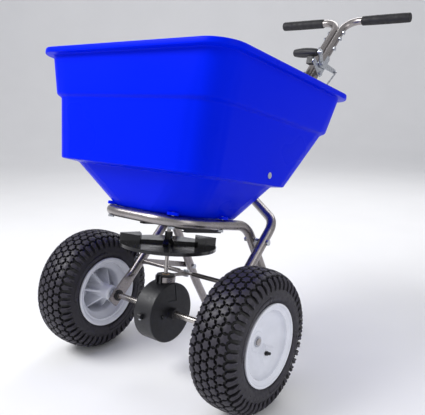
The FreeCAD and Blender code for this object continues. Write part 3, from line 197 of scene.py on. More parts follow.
class Finish:
    """A material with its nodes at hand, so that a recipe reads from top to bottom."""

    def __init__(self, name, colour, roughness, metallic=0.0):
        self.material = bpy.data.materials.new(name)
        self.material.use_nodes = True
        self.tree = self.material.node_tree
        self.shader = self.tree.nodes["Principled BSDF"]
        self.colour = colour
        self.shader.inputs["Base Color"].default_value = (*colour, 1)
        self.shader.inputs["Roughness"].default_value = roughness
        self.shader.inputs["Metallic"].default_value = metallic
        self.place = self.tree.nodes.new("ShaderNodeTexCoord").outputs["Object"]

    def node(self, kind, **values):
        made = self.tree.nodes.new(kind)
        for key, value in values.items():
            if key in made.inputs:
                self.feed(made.inputs[key], value)
            else:
                setattr(made, key, value)
        return made

    def feed(self, socket, value):
        if isinstance(value, bpy.types.NodeSocket):
            self.tree.links.new(value, socket)
        else:
            socket.default_value = value

    def stretched(self, scale, turn=(0.0, 0.0, 0.0)):
        return self.node("ShaderNodeMapping", Vector=self.place, Scale=scale, Rotation=turn).outputs[0]

    # The per-point painted shade that the tyres carry, read as a number from 0 to 1.
    def painted_shade(self):
        return self.node("ShaderNodeAttribute", attribute_name="painted_shade").outputs["Fac"]

    def noise(self, scale, detail=3.0, roughness=0.5, place=None):
        made = self.node("ShaderNodeTexNoise", Scale=scale, Detail=detail, Roughness=roughness)
        self.feed(made.inputs["Vector"], place or self.place)
        return made.outputs["Fac"]

    def cells(self, scale, feature="F1", place=None):
        made = self.node("ShaderNodeTexVoronoi", Scale=scale, feature=feature)
        self.feed(made.inputs["Vector"], place or self.place)
        return made.outputs["Distance"]

    def ranged(self, value, low, high, start=0.3, end=0.7):
        made = self.node("ShaderNodeMapRange", Value=value)
        for key, number in (("From Min", start), ("From Max", end), ("To Min", low), ("To Max", high)):
            made.inputs[key].default_value = number
        return made.outputs[0]

    def drift(self, value, dark, light, start=0.3, end=0.7):
        """Base colour that runs from a darker to a lighter share of the finish's own colour."""
        made = self.node("ShaderNodeMix", data_type="RGBA")
        self.feed(made.inputs["Factor"], self.ranged(value, 0, 1, start, end))
        for socket, share in ((made.inputs[6], dark), (made.inputs[7], light)):
            socket.default_value = (*[min(1, c * share) for c in self.colour], 1)
        self.feed(self.shader.inputs["Base Color"], made.outputs[2])

    def rough(self, value, low, high, start=0.3, end=0.7):
        self.feed(self.shader.inputs["Roughness"], self.ranged(value, low, high, start, end))

    def bumps(self, *layers):
        """Stack bump layers, each (height, strength, depth in metres), coarse ones first."""
        normal = None
        for height, strength, depth in layers:
            made = self.node("ShaderNodeBump", Height=height, Strength=strength, Distance=depth)
            if normal:
                self.feed(made.inputs["Normal"], normal)
            normal = made.outputs[0]
        self.feed(self.shader.inputs["Normal"], normal)


print("recipe ready")

# %% [markdown]
# The tubes are drawn stainless steel: the drawing leaves long faint lines, and handling leaves a
# few smudges. A wide noise moves the roughness, and a fine one adds the faint lines. The zinc of
# the bolts and the lever plate has the cloudy spangle of bright plating.

# %% Metals
tube_steel = Finish("stainless_tube_drawn", (0.33, 0.305, 0.3), 0.3, 1.0)
tube_smudge = tube_steel.noise(22, 4)
tube_lines = tube_steel.noise(1.0, 3, place=tube_steel.stretched((900, 160, 160)))
tube_steel.drift(tube_smudge, 0.86, 1.1)
tube_steel.rough(tube_lines, 0.25, 0.36)
tube_steel.bumps((tube_lines, 0.03, 0.00003))

zinc_plate = Finish("zinc_bright_plate", (0.5, 0.52, 0.56), 0.3, 1.0)
spangle = zinc_plate.cells(160)
zinc_plate.drift(spangle, 0.8, 1.12, 0.0, 0.8)
zinc_plate.rough(zinc_plate.noise(90), 0.2, 0.42)
zinc_plate.bumps((zinc_plate.noise(420), 0.12, 0.0001))

axle_steel = Finish("axle_ground_steel", (0.5, 0.47, 0.45), 0.24, 1.0)
grind_lines = axle_steel.noise(1.0, 2, place=axle_steel.stretched((2600, 60, 60)))
axle_steel.drift(axle_steel.noise(30), 0.85, 1.08)
axle_steel.rough(grind_lines, 0.16, 0.34)
axle_steel.bumps((grind_lines, 0.08, 0.00004))

bush_bronze = Finish("bush_sintered_bronze", (0.5, 0.31, 0.14), 0.4, 1.0)
bush_bronze.drift(bush_bronze.noise(300), 0.75, 1.1)
bush_bronze.rough(bush_bronze.noise(500), 0.3, 0.5)
bush_bronze.bumps((bush_bronze.cells(1400), 0.2, 0.0001))

gear_metal = Finish("gear_oiled_steel", (0.2, 0.2, 0.21), 0.38, 1.0)
gear_metal.drift(gear_metal.noise(120), 0.7, 1.15)
gear_metal.rough(gear_metal.noise(60), 0.24, 0.5)
gear_metal.bumps((gear_metal.noise(900), 0.2, 0.0001))
print("metals:", 5)

# %% [markdown]
# The hopper is rotomoulded polyethylene: a saturated blue with a soft gloss, faint waves where the
# wall cooled unevenly, and a fine orange-peel. The rims are moulded too, in white, with a little grey
# dust scattered at random over them.

# %% Plastics
hopper_blue = Finish("hopper_blue_polyethylene", (0.0, 0.0125, 0.74), 0.36)
hopper_blue.drift(hopper_blue.noise(2.5, 2), 0.95, 1.04)
hopper_blue.rough(hopper_blue.noise(5, 2), 0.26, 0.34)
hopper_blue.bumps((hopper_blue.noise(6, 1), 0.1, 0.003), (hopper_blue.noise(520, 2), 0.04, 0.0002))
hopper_blue.shader.inputs["Specular IOR Level"].default_value = 0.03

rim_white = Finish("rim_white_moulding", (0.74, 0.755, 0.82), 0.34)
rim_white.drift(rim_white.noise(26, 4), 0.94, 1.04)
rim_white.rough(rim_white.noise(60), 0.28, 0.46)
rim_white.bumps((rim_white.noise(35, 2), 0.06, 0.001), (rim_white.noise(900, 2), 0.06, 0.0001))

casing_black = Finish("casing_black_nylon", (0.0085, 0.0085, 0.011), 0.4)
casing_black.drift(casing_black.noise(40, 4), 0.75, 1.5)
casing_black.rough(casing_black.noise(160), 0.36, 0.56)
casing_black.bumps((casing_black.noise(1500, 2), 0.25, 0.00015), (casing_black.cells(900), 0.1, 0.0001))

spinner_black = Finish("spinner_gloss_black", (0.011, 0.011, 0.012), 0.14)
spinner_black.drift(spinner_black.noise(60, 4), 0.8, 1.6)
spinner_black.rough(spinner_black.noise(35, 5), 0.09, 0.26)
spinner_black.bumps((spinner_black.noise(45, 2), 0.08, 0.0008))

tyre_rubber = Finish("tyre_dull_rubber", (0.017, 0.0145, 0.0235), 0.6)
# Painted shade: the rubber darkens to 0.12 of its colour between the studs and in the sidewall grooves, and
# lightens to 1.25 on the stud tops.
tyre_rubber.drift(tyre_rubber.painted_shade(), 0.12, 1.25, 0.0, 1.0)
tyre_rubber.rough(tyre_rubber.noise(120, 4), 0.42, 0.66)
tyre_rubber.bumps((tyre_rubber.noise(260, 3), 0.18, 0.0004), (tyre_rubber.noise(1900, 2), 0.2, 0.0001))

grip_foam = Finish("grip_closed_cell_foam", (0.0065, 0.006, 0.008), 0.66)
grip_foam.drift(grip_foam.cells(700), 0.7, 1.5, 0.0, 0.6)
grip_foam.rough(grip_foam.noise(90), 0.5, 0.8)
grip_foam.bumps((grip_foam.noise(55, 2), 0.12, 0.001), (grip_foam.cells(1100), 0.35, 0.0003))
print("plastics and rubber:", 6)

# %% [markdown]
# Each CAD node already names a slot for its finish, so the carried-over nodes are dressed by that
# name. The ground axle is the one exception: it is steel too, but turned, not drawn.

# %% Dress the carried-over nodes
by_slot = {
    "stainless_tube": tube_steel, "zinc": zinc_plate, "black_plastic": casing_black,
    "gloss_black": spinner_black, "hopper_blue": hopper_blue, "rim_white": rim_white,
    "tyre_rubber": tyre_rubber, "grip_foam": grip_foam, "bronze": bush_bronze, "gear_steel": gear_metal,
}
own_finish = {"axle": axle_steel, "spinner_shaft": axle_steel, "control_rod": zinc_plate,
              "gearbox_axle_bushes": casing_black}
for name, node in nodes.items():
    for held in node.material_slots:
        slot_name = held.material.name.split(".")[0]
        held.material = own_finish.get(name, by_slot[slot_name]).material
print("dressed", len(nodes), "nodes in", len(by_slot), "finishes")

# %% [markdown]
# ## Tyres
#
# A turf tyre has a rounded crown with rows of star-shaped studs that interlock, long lugs round
# each shoulder, and a smooth sidewall that swells out and then tucks in under the rim's flange.
# A picture of tread on a torus would look flat at its outline, so the studs are real blocks.
#
# The carcass is one closed profile turned about the axle. Its outside is a smooth curve, and
# `tread_point` finds any place on it from three numbers: the angle round the axle, the length
# along the curve from the crown, and the height above the rubber. A stud is then only an outline
# in angle and length, lifted to its height.

# %% The tyre's section
WHEEL_X = 266.0
TREAD = 7.2
crown_to_bead = np.array([
    (0, 157.6), (14, 157.3), (27, 155.8), (38, 151.9), (47, 145.3), (52.6, 137.2), (56, 128.5), (57.8, 120),
    (58.0, 112), (56.8, 105.2), (54.2, 100), (51.3, 97.2), (50.6, 92), (50.6, 78)], float)


def resampled(points, count):
    """Points at even lengths along a polyline."""
    length = np.concatenate([[0], np.cumsum(np.linalg.norm(np.diff(points, axis=0), axis=1))])
    wanted = np.linspace(0, length[-1], count)
    return np.stack([np.interp(wanted, length, points[:, k]) for k in range(points.shape[1])], -1), wanted


half_section, section_length = resampled(rounded_line(crown_to_bead, 6.0, 4), 160)
slope = np.gradient(half_section, section_length, axis=0)
outward = np.stack([-slope[:, 1], slope[:, 0]], -1)
outward /= np.linalg.norm(outward, axis=1)[:, None]


def tread_point(angle, along, height):
    """Section point at a length along the curve, plus height times its normal, turned to the angle."""
    side, reach = np.where(along < 0, -1.0, 1.0), np.abs(along)
    x = np.interp(reach, section_length, half_section[:, 0])
    r = np.interp(reach, section_length, half_section[:, 1])
    nx = np.interp(reach, section_length, outward[:, 0])
    nr = np.interp(reach, section_length, outward[:, 1])
    radius = r + height * nr
    return np.stack([side * (x + height * nx), radius * np.sin(angle), radius * np.cos(angle)], -1)


print("half section is %.0f mm long from crown to bead" % section_length[-1])

# %% [markdown]
# A stud's outline is a six-pointed star with blunt points. Its rings, from the bottom up, are the
# foot sunk into the rubber, the wall, a small round at the edge, and the top, which narrows to a
# middle point. A shoulder lug has the same rings on a long outline that fades into the sidewall.

# %% Studs and lugs


def raised_blocks(angles, alongs, outline, heights, insets, share=None):
    """Lift one outline, (arc, length) in millimetres, at every (angle, along) place.

    Ring k is the outline drawn in by insets[k] and lifted by heights[k]; the last ring closes to a
    point in the middle. `share` lowers the outline's own points, to fade a lug out.
    """
    share = np.ones(len(outline)) if share is None else share
    middle = outline.mean(0)
    away = outline - middle
    size = np.linalg.norm(away, axis=1)[:, None]
    rings = [middle + away * (1 - inset / size) for inset in insets]
    rings.append(np.repeat(middle[None], len(outline), 0))
    flat = np.stack(rings)
    lift = np.stack([h * (share if h > 0 else 1) * np.ones(len(outline)) for h in heights]
                    + [heights[-1] * np.full(len(outline), share.mean())])
    angle = angles[:, None, None] + flat[None, :, :, 0] / 160.0
    along = alongs[:, None, None] + flat[None, :, :, 1]
    points = tread_point(angle, along, np.broadcast_to(lift, angle.shape))
    return points


def block_patches(points, x_sign, flip):
    """One patch for each block's stack of closed rings."""
    points = points * (x_sign, 1, 1) + (x_sign * WHEEL_X, 0, 0)
    count, rings, around = points.shape[:3]
    faces = grid_faces(rings, around, columns_close=True)
    every = (faces[None] + (np.arange(count) * rings * around)[:, None, None]).reshape(-1, 4)
    return stood(points.reshape(-1, 3)), every[:, ::-1] if flip else every


PITCHES = 46
ROW_STEP = 17.6
pitch_angle = 2 * np.pi / PITCHES
points_of_star = np.arange(12) * np.pi / 6
star_reach = np.where(np.arange(12) % 2 == 0, 7.3, 10.7)
stud = np.stack([star_reach * np.cos(points_of_star) * 1.02, star_reach * np.sin(points_of_star) * 0.92], -1)
stud_rings = dict(heights=(-1.5, TREAD - 1.3, TREAD - 0.3, TREAD), insets=(-0.4, 0.0, 0.7, 2.2))
lug_outline = np.array([(-7.0, -11), (-2.2, -15.5), (2.2, -15.5), (7.0, -11), (6.2, -4), (6.0, 3),
                        (5.4, 9), (2.4, 13), (-2.4, 13), (-5.4, 9), (-6.0, 3), (-6.2, -4)], float)
lug_share = np.array([1, 1, 1, 1, 1, .9, .5, .12, .12, .5, .9, 1])


def tyre_blocks():
    """All studs and lugs of one tyre as (angle, ring, outline) stacks of points."""
    turns = np.arange(PITCHES) * pitch_angle
    stacks = []
    for row in (-2, -1, 0, 1, 2):
        shift = (row % 2) * pitch_angle / 2
        stacks.append(raised_blocks(turns + shift, np.full(PITCHES, row * ROW_STEP), stud, **stud_rings))
    for side in (-1, 1):
        outline = lug_outline * (1, side)
        outline = outline if side > 0 else outline[::-1]
        share = lug_share if side > 0 else lug_share[::-1]
        stacks.append(raised_blocks(turns + pitch_angle / 2, np.full(PITCHES, side * 60.0), outline,
                                    (-1.5, TREAD - 1.5, TREAD - 0.6, TREAD - 0.3), (-0.3, 0.0, 0.7, 2.2),
                                    share))
    return stacks


print("blocks on a tyre:", 7 * PITCHES)

# %% [markdown]
# The sidewall carries a raised band over part of its round, a ridge beside the rim, and the small
# rubber hairs that the mould's vents leave. The band and the ridge are added to the profile as
# smooth steps. The hairs are four-sided spikes.

# %% Carcass, sidewall and hairs
TURNS = 288
BAND_MIDDLES = (-0.97, 2.17)
BAND_HALF_TURN = 0.72


def sidewall_relief(angle, along):
    """Height over the plain sidewall: two raised arcs with a groove on each edge, and a bead ridge.

    Each part is a product of smooth steps, one in the length along the section and one in angle.
    """
    reach = np.abs(along)
    flat = smooth_step(reach, 84.5, 86) - smooth_step(reach, 95, 96.5)
    grooves = sum(np.exp(-((reach - edge) / 0.9) ** 2) for edge in (83.6, 97.4))
    relief = 0.9 * (smooth_step(reach, 100.4, 101.2) - smooth_step(reach, 102.6, 103.4))
    for middle in BAND_MIDDLES:
        gap = np.abs(np.mod(angle - middle + np.pi, 2 * np.pi) - np.pi)
        here = 1 - smooth_step(gap, BAND_HALF_TURN - 0.02, BAND_HALF_TURN)
        relief = relief + here * (1.0 * flat - 1.5 * grooves)
        for end in (-BAND_HALF_TURN, BAND_HALF_TURN):
            turn = np.mod(angle - middle - end + np.pi, 2 * np.pi) - np.pi
            spot = np.hypot(turn * 112, reach - 90.5)
            relief = relief + 0.9 * (1 - smooth_step(spot, 4.4, 6.2)) - 1.4 * np.exp(-((spot - 7) / 1.0) ** 2)
    return relief


section_places = np.concatenate([np.arange(0, 78, 5.2), np.arange(78, 106, 1.1),
                                 np.linspace(107, section_length[-1], 5)])


def carcass(x_sign):
    """The outside curve from bead to bead, then back along the inside one wall in.

    Sections lie 5 mm apart under the tread and 1.1 mm apart on the sidewall, where the relief is.
    """
    wall = 6.0
    end = section_length[-1]
    along = np.concatenate([-section_places[::-1], section_places[1:]])
    angle = np.arange(TURNS) * 2 * np.pi / TURNS
    a, s = np.meshgrid(angle, along, indexing="xy")
    outside = tread_point(a, s, sidewall_relief(a, s))
    inner_half = np.linspace(0, end - 16, 9)
    inner_along = np.concatenate([-inner_half[::-1], inner_half[1:]])[::-1]
    a, s = np.meshgrid(angle, inner_along, indexing="xy")
    inside = tread_point(a, s, np.full(a.shape, -wall))
    loop = np.concatenate([outside, inside]) * (x_sign, 1, 1) + (x_sign * WHEEL_X, 0, 0)
    return patch(loop, rows_close=True, columns_close=True, flip=x_sign > 0)


def hairs(seed):
    """Spikes at scattered places on the shoulders: a square foot and one tip."""
    rng = np.random.default_rng(seed)
    count = 90
    angle = rng.uniform(0, 2 * np.pi, count)
    along = rng.choice([-1, 1], count) * rng.uniform(44, 60, count)
    foot = 0.5
    corners = np.array([(-foot, -foot), (foot, -foot), (foot, foot), (-foot, foot)])
    length = rng.uniform(2.0, 3.6, count) + TREAD * 0.55
    rings = []
    for share, height in ((1.0, -0.5), (0.8, 0.5), (0.05, 1.0)):
        a = angle[:, None] + corners[None, :, 0] * share / 150
        s = along[:, None] + corners[None, :, 1] * share
        h = np.where(height < 0, height, height * length)[:, None] * np.ones(4)
        rings.append(tread_point(a, s, h))
    return np.stack(rings, 1)


# Painted shade per stud ring: the sunk foot darkest, the wall dark, the round and the top lightest.
stud_ring_painted_shade = np.array([0.0, 0.3, 1.0, 0.95, 0.9])


def carcass_painted_shade(count):
    """Painted shade: darkest between the studs, plain rubber at the shoulder, darker in cut-in grooves,
    lighter on raised relief.

    shade = s(along) (0.62 + 0.3 relief), where s rises smoothly from 0 under the tread to 1.
    """
    along = np.concatenate([-section_places[::-1], section_places[1:]])
    a, s = np.meshgrid(np.arange(TURNS) * 2 * np.pi / TURNS, along, indexing="xy")
    outside = smooth_step(np.abs(s), 60, 76) * (0.62 + 0.3 * sidewall_relief(a, s))
    outside = np.clip(outside, 0, 1).ravel()
    return np.concatenate([outside, np.zeros(count - len(outside))])


VENTS = 24
VENT_PLACES = (82.5, 99.0)
VENT_STAGGER = 0.06
vent_rings = dict(heights=(-0.5, 0.5, 0.7), insets=(0, 0.1, 0.4))
vent = 1.25 * np.stack([np.cos(np.arange(6) * np.pi / 3), np.sin(np.arange(6) * np.pi / 3)], -1)


def vent_dots():
    """Two rings of small pips on each sidewall, left by the mould's vents."""
    turns = np.arange(VENTS) * 2 * np.pi / VENTS
    return [raised_blocks(turns + VENT_STAGGER * k, np.full(VENTS, side * place), vent, **vent_rings)
            for side in (-1, 1) for k, place in enumerate(VENT_PLACES)]


for side, x_sign, body in (("right", 1, "free_wheel"), ("left", -1, "drive_axle")):
    patches = [carcass(x_sign)]
    patches += [block_patches(stack, x_sign, x_sign < 0) for stack in tyre_blocks()]
    plain = [block_patches(stack, x_sign, x_sign < 0) for stack in vent_dots() + [hairs(7)]]
    # Painted shade for every point: the carcass's from its section, the studs' and lugs' by ring, the vents
    # and hairs near the lightest.
    painted_shade = np.concatenate([carcass_painted_shade(len(patches[0][0]))]
                          + [np.tile(np.repeat(stud_ring_painted_shade, 12), PITCHES) for _ in range(7)]
                          + [np.full(len(points), 0.95) for points, _ in plain])
    patches += plain
    put("tyre_%s_tread" % side, patches, tyre_rubber.material, body, "tyre_" + side, slot="tyre_rubber",
        painted_shade=painted_shade)

# %% [markdown]
# ## Rims
#
# A rim is moulded in one piece: a barrel with a rounded flange at each end, a dished face that
# slopes from the barrel down to a flat middle, and a long hub behind it that six webs brace. All
# but the webs is a single closed profile turned about the axle, so the flange, the dish and the
# bore share one smooth skin. The webs are thin wedges that run from the hub out to the barrel.

# %% Barrel, dish and hub
rim_profile = rounded_line(np.array([
    (19, 8.06), (22, 9.4), (22, 22), (19.4, 24), (19.2, 32), (35, 66.5), (38.5, 73.5), (50, 79.5), (54, 88.6),
    (58, 90.2), (57.6, 95.4), (51.4, 94.8), (50.9, 77.4), (35, 75.6), (27, 67), (-27, 67), (-35, 75.6),
    (-50.9, 77.4), (-51.4, 94.8), (-57.6, 95.4), (-58, 90.2), (-54, 84.8), (-37, 71.6), (-30, 62), (12, 62),
    (26, 61), (12, 31), (12, 21), (-74, 20.8), (-78, 17), (-78, 9), (-77, 8.06), (19, 8.06)], float),
    (0, 1, 1.6, 1.4, 4, 5, 4, 4, 3, 2.2, 2.4, 1.5, 2, 3, 3, 3, 3, 2, 1.5, 2.4, 2.2, 3, 4, 4, 3, 2, 3, 2, 2,
     2, 1, 1, 0),
    4)


def web(turn, x_sign):
    """One bracing web: four corners in (x, radius), a little thicker at the hub than at the barrel."""
    face = np.array([(13, 19), (-50, 19), (-8, 63.5), (27, 63.5), (13, 31)], float)
    face = rounded_line(np.concatenate([face, face[:1]]), (0, 2, 4, 4, 2, 0), 4)[:-1]
    thick = 3.4 - 1.0 * (face[:, 1] - 19) / 44.5
    sides = []
    for sign, inset in ((-1, 1.2), (-1, 0.0), (1, 0.0), (1, 1.2)):
        centre = face.mean(0)
        inner = centre + (face - centre) * (1 - inset / 30)
        x, r, w = inner[:, 0], inner[:, 1], sign * (thick - (0 if inset else 0.7))
        sides.append(np.stack([x_sign * x, r * math.sin(turn) + w * math.cos(turn),
                               r * math.cos(turn) - w * math.sin(turn)], -1))
    sides = [sides[0].mean(0) + (sides[0] - sides[0].mean(0)) * 0.01] + sides
    sides = sides + [sides[-1].mean(0) + (sides[-1] - sides[-1].mean(0)) * 0.01]
    return np.stack(sides) + (x_sign * WHEEL_X, 0, 0)


def valve_pocket(points, x_sign):
    """Raise a wedge of the dish round the valve: a product of smooth steps in radius and angle."""
    x = (points[..., 0] * x_sign - WHEEL_X)
    radius = np.hypot(points[..., 1], points[..., 2])
    angle = np.arctan2(points[..., 1], points[..., 2])
    turn = np.mod(angle - VALVE_TURN + np.pi, 2 * np.pi) - np.pi
    wedge = 1 - smooth_step(np.abs(turn) * radius, 13, 17)
    on_dish = smooth_step(radius, 30, 36) * (1 - smooth_step(radius, 62, 65)) * (x > 12) * (x < 40)
    front = (x - (19.2 + (radius - 32) * 0.458)) > -2.5
    lift = np.maximum(0, 33.5 - x) * 0.55 * wedge * on_dish * front
    out = points.copy()
    out[..., 0] += x_sign * lift
    return out


VALVE_TURN = math.radians(133)
for side, x_sign, body in (("right", 1, "free_wheel"), ("left", -1, "drive_axle")):
    barrel = turned(rim_profile[:-1], 192, x_sign) + (x_sign * WHEEL_X, 0, 0)
    barrel = valve_pocket(barrel, x_sign)
    patches = [patch(barrel, rows_close=True, columns_close=True, flip=x_sign < 0)]
    patches += [patch(web(math.radians(30 + 60 * k), x_sign), columns_close=True, flip=x_sign > 0)
                for k in range(6)]
    put("rim_%s_moulding" % side, patches, rim_white.material, body, "rim_" + side, slot="rim_white")

# %% [markdown]
# ## The hopper
#
# The hopper is one rotomoulded shell. Its plan is a rounded rectangle at every height, and three
# tiers step in on the way down, so it could be lofted between a few outlines. Here each level is
# five numbers: half width, reach to the front, reach to the rear, height, and corner radius. The
# levels are a polyline in those five numbers, so rounding that polyline's corners rounds every
# ledge and the rim at once, and the wall inside is the same levels drawn in by the wall.

# %% The hopper's levels
NECK = (74, 40, 92, 226, 12)
SEAT = (125.5, 139.5, 138, 253.8, 85.5)
LOWER_TOP = (211.1, 186.8, 132.3, 345.7, 62)
MIDDLE_FOOT = (235.1, 214.1, 144.4, 349.4, 50)
MIDDLE_TOP = (248.9, 225.9, 268.1, 494.7, 50)
UPPER_FOOT = (260.8, 232.4, 274.9, 501.7, 52)
UNDER_LIP = (277.0, 243.6, 289.1, 594.4, 52)
LIP_FOOT = (295.0, 261.6, 307.1, 594.4, 64)
LIP_TOP = (295.0, 261.6, 307.1, 607.4, 64)
HOPPER_WALL = 4.0
PANEL_RISE = 1.8


def drawn_in(level, by, lift=0.0):
    """A level moved inwards by a wall's thickness; the corner radius shrinks by as much."""
    half, front, rear, height, corner = level
    return (half - by, front - by, rear - by, height + lift, max(corner - by, 3.0))


def level_rings(levels, per_corner=14, per_side=16, swell=None):
    """Rounded rectangles, one per level: a quarter circle at each corner, straight runs between.

    `swell` moves each level's straight runs outwards by so much, with a short ramp at each end.
    """
    half, front, rear, height, corner = np.asarray(levels, float).T
    arcs = []
    for k, (sx, sy) in enumerate(((1, 1), (-1, 1), (-1, -1), (1, -1))):
        a = np.linspace(0, np.pi / 2, per_corner) + k * np.pi / 2
        reach = rear if sy > 0 else front
        x = (sx * (half - corner))[:, None] + corner[:, None] * np.cos(a)
        y = (sy * (reach - corner))[:, None] + corner[:, None] * np.sin(a)
        arcs.append(np.stack([x, y], -1))
    pieces = []
    t = np.linspace(0, 1, per_side + 2)[1:-1, None]
    t = 0.5 - 0.5 * np.cos(np.pi * t) * (0.7 + 0.3 * np.cos(np.pi * t) ** 2)
    swell = np.zeros(len(half)) if swell is None else swell
    for k in range(4):
        start, end = arcs[k][:, -1:], arcs[(k + 1) % 4][:, :1]
        side = np.array([(0, 1), (-1, 0), (0, -1), (1, 0)][k])
        ramp = smooth_step(np.minimum(t, 1 - t), 0.0, 0.012)
        pieces += [arcs[k], start + (end - start) * t + side * ramp * swell[:, None, None]]
    plan = np.concatenate(pieces, 1)
    return np.concatenate([plan, np.broadcast_to(height[:, None, None], plan.shape[:2] + (1,))], -1)


outer_levels = rounded_line([NECK, SEAT, LOWER_TOP, MIDDLE_FOOT, MIDDLE_TOP, UPPER_FOOT, UNDER_LIP, LIP_FOOT,
                             LIP_TOP, drawn_in(LIP_TOP, 24), drawn_in(UNDER_LIP, HOPPER_WALL),
                             drawn_in(UPPER_FOOT, HOPPER_WALL), drawn_in(MIDDLE_TOP, HOPPER_WALL),
                             drawn_in(MIDDLE_FOOT, HOPPER_WALL, 2), drawn_in(LOWER_TOP, HOPPER_WALL, 2),
                             drawn_in(SEAT, HOPPER_WALL, 1), drawn_in(NECK, HOPPER_WALL, 4)],
                            (0, 5, 5, 5, 5, 5, 5, 4, 5, 6, 5, 5, 5, 5, 5, 5, 0), 6)
on_tiers = smooth_step(outer_levels[:, 3], 262, 280) * (1 - smooth_step(outer_levels[:, 3], 580, 592))
outside_rows = np.arange(len(outer_levels)) <= np.argmax(outer_levels[:, 0])
hopper_rows = level_rings(outer_levels, swell=PANEL_RISE * on_tiers * outside_rows)
print("hopper rows and columns:", hopper_rows.shape[:2])

# %% Close the floor


def closed_floor(ring, height):
    """Shrink a ring to its middle in a few steps, so that a floor has even faces."""
    middle = ring.mean(0)
    steps = [middle + (ring - middle) * share for share in (1.0, 0.7, 0.4, 0.15, 0.001)]
    floor = np.stack(steps)
    floor[..., 2] = height
    return floor


def hopper_shell():
    """Underside, outer wall, rim, inner wall and floor as one closed stack of rings."""
    under = closed_floor(hopper_rows[0], NECK[3])[::-1]
    inner = closed_floor(hopper_rows[-1], NECK[3] + 4)
    rows = np.concatenate([under, hopper_rows[1:-1], inner])
    return patch(rows, columns_close=True)


hopper = put("hopper_shell", [hopper_shell()], hopper_blue.material, "frame", "hopper", slot="hopper_blue",
             merge=0.00005)

# %% [markdown]
# The material leaves through two rectangular ports in the floor, and the agitator's shaft comes up
# between them. Holes like these could be left out of the grid, but the floor's rings don't follow
# their edges, so a boolean cuts them: one closed cutter, taken away from the closed shell.

# %% Cut the ports
PORT_X, PORT_Y, PORT_HALF_LENGTH, PORT_HALF_WIDTH = 34.0, 34.0, 15.0, 17.0
SHAFT_HOLE = 12.0
PLUG_LOW, PLUG_HIGH = 216.0, 240.0


def plug(half_x, half_y, corner, x, y):
    """A closed rounded block through the floor: two rings and a middle point on each face."""
    rings = level_rings([(half_x, half_y, half_y, z, corner) for z in (PLUG_LOW, PLUG_HIGH)], 6, 4)
    faces = [closed_floor(rings[0], PLUG_LOW)[::-1], closed_floor(rings[1], PLUG_HIGH)]
    return patch(np.concatenate(faces) + (x, y, 0), columns_close=True)


def cut_away(piece, plugs):
    """Take the plugs away from a closed piece with an exact boolean, then drop the cutter."""
    offsets = np.cumsum([0] + [len(points) for points, _ in plugs[:-1]])
    mesh = bpy.data.meshes.new("cutter")
    mesh.from_pydata(np.concatenate([points for points, _ in plugs]).tolist(), [],
                     np.concatenate([faces + shift for (_, faces), shift in zip(plugs, offsets)]).tolist())
    weld(mesh, 0.00005)
    cutter = bpy.data.objects.new("cutter", mesh)
    bpy.context.scene.collection.objects.link(cutter)
    boolean = piece.modifiers.new("cut", "BOOLEAN")
    boolean.operation, boolean.solver, boolean.object = "DIFFERENCE", "EXACT", cutter
    bpy.context.view_layer.update()
    cut = bpy.data.meshes.new_from_object(piece.evaluated_get(bpy.context.evaluated_depsgraph_get()))
    piece.modifiers.clear()
    piece.data = cut
    bpy.data.objects.remove(cutter)


cut_away(hopper, [plug(PORT_HALF_WIDTH, PORT_HALF_LENGTH, 3.0, side * PORT_X, PORT_Y) for side in (-1, 1)]
         + [plug(SHAFT_HOLE, SHAFT_HOLE, SHAFT_HOLE - 0.01, 0.0, 0.0)])
print("hopper faces after the cut:", len(hopper.data.polygons))

# %% [markdown]
# The hopper stands on the frame's hoop on four small moulded tabs, each with a bolt through it and
# the tube. A tab is a low rounded block, so it is a stack of the same rounded rectangles.

# %% Seat tabs
TAB_HALF_WIDTH, TAB_HALF_LENGTH, TAB_CORNER = 12.0, 13.0, 6.0
TAB_RINGS = ((254.0, 0.6), (254.5, 0.0), (259.5, 0.0), (261.0, 1.4))   # height, drawn in by
TAB_PLACES = ((132.0, 17.0, 0.0), (-132.0, 17.0, 0.0), (99.1, -124.5, -50.0), (-99.1, -124.5, 50.0))


def tab(x, y, turn_deg):
    """Rounded block over the hoop, turned about the vertical and shifted to its bolt."""
    turn = math.radians(turn_deg)
    levels = [(TAB_HALF_WIDTH - cut, TAB_HALF_LENGTH - cut, TAB_HALF_LENGTH - cut, z, TAB_CORNER - cut)
              for z, cut in TAB_RINGS]
    rings = level_rings(levels, 8, 6)
    foot, top = TAB_RINGS[0][0], TAB_RINGS[-1][0]
    rows = np.concatenate([closed_floor(rings[0], foot)[::-1], rings[1:-1], closed_floor(rings[-1], top)])
    turned_x = rows[..., 0] * math.cos(turn) - rows[..., 1] * math.sin(turn) + x
    turned_y = rows[..., 0] * math.sin(turn) + rows[..., 1] * math.cos(turn) + y
    return patch(np.stack([turned_x, turned_y, rows[..., 2]], -1), columns_close=True)


put("hopper_seat_tabs", [tab(*place) for place in TAB_PLACES], hopper_blue.material, "frame",
    slot="hopper_blue", merge=0.00002)

# %% [markdown]
# ## Grips
#
# Each grip is a foam sleeve pushed over the end of the handle tube. The sleeve is soft, so it is a
# little fuller in the middle, and both ends are rounded over. It is one closed profile turned about
# the handle's line, and the far end is closed, because the sleeve covers the tube's end.

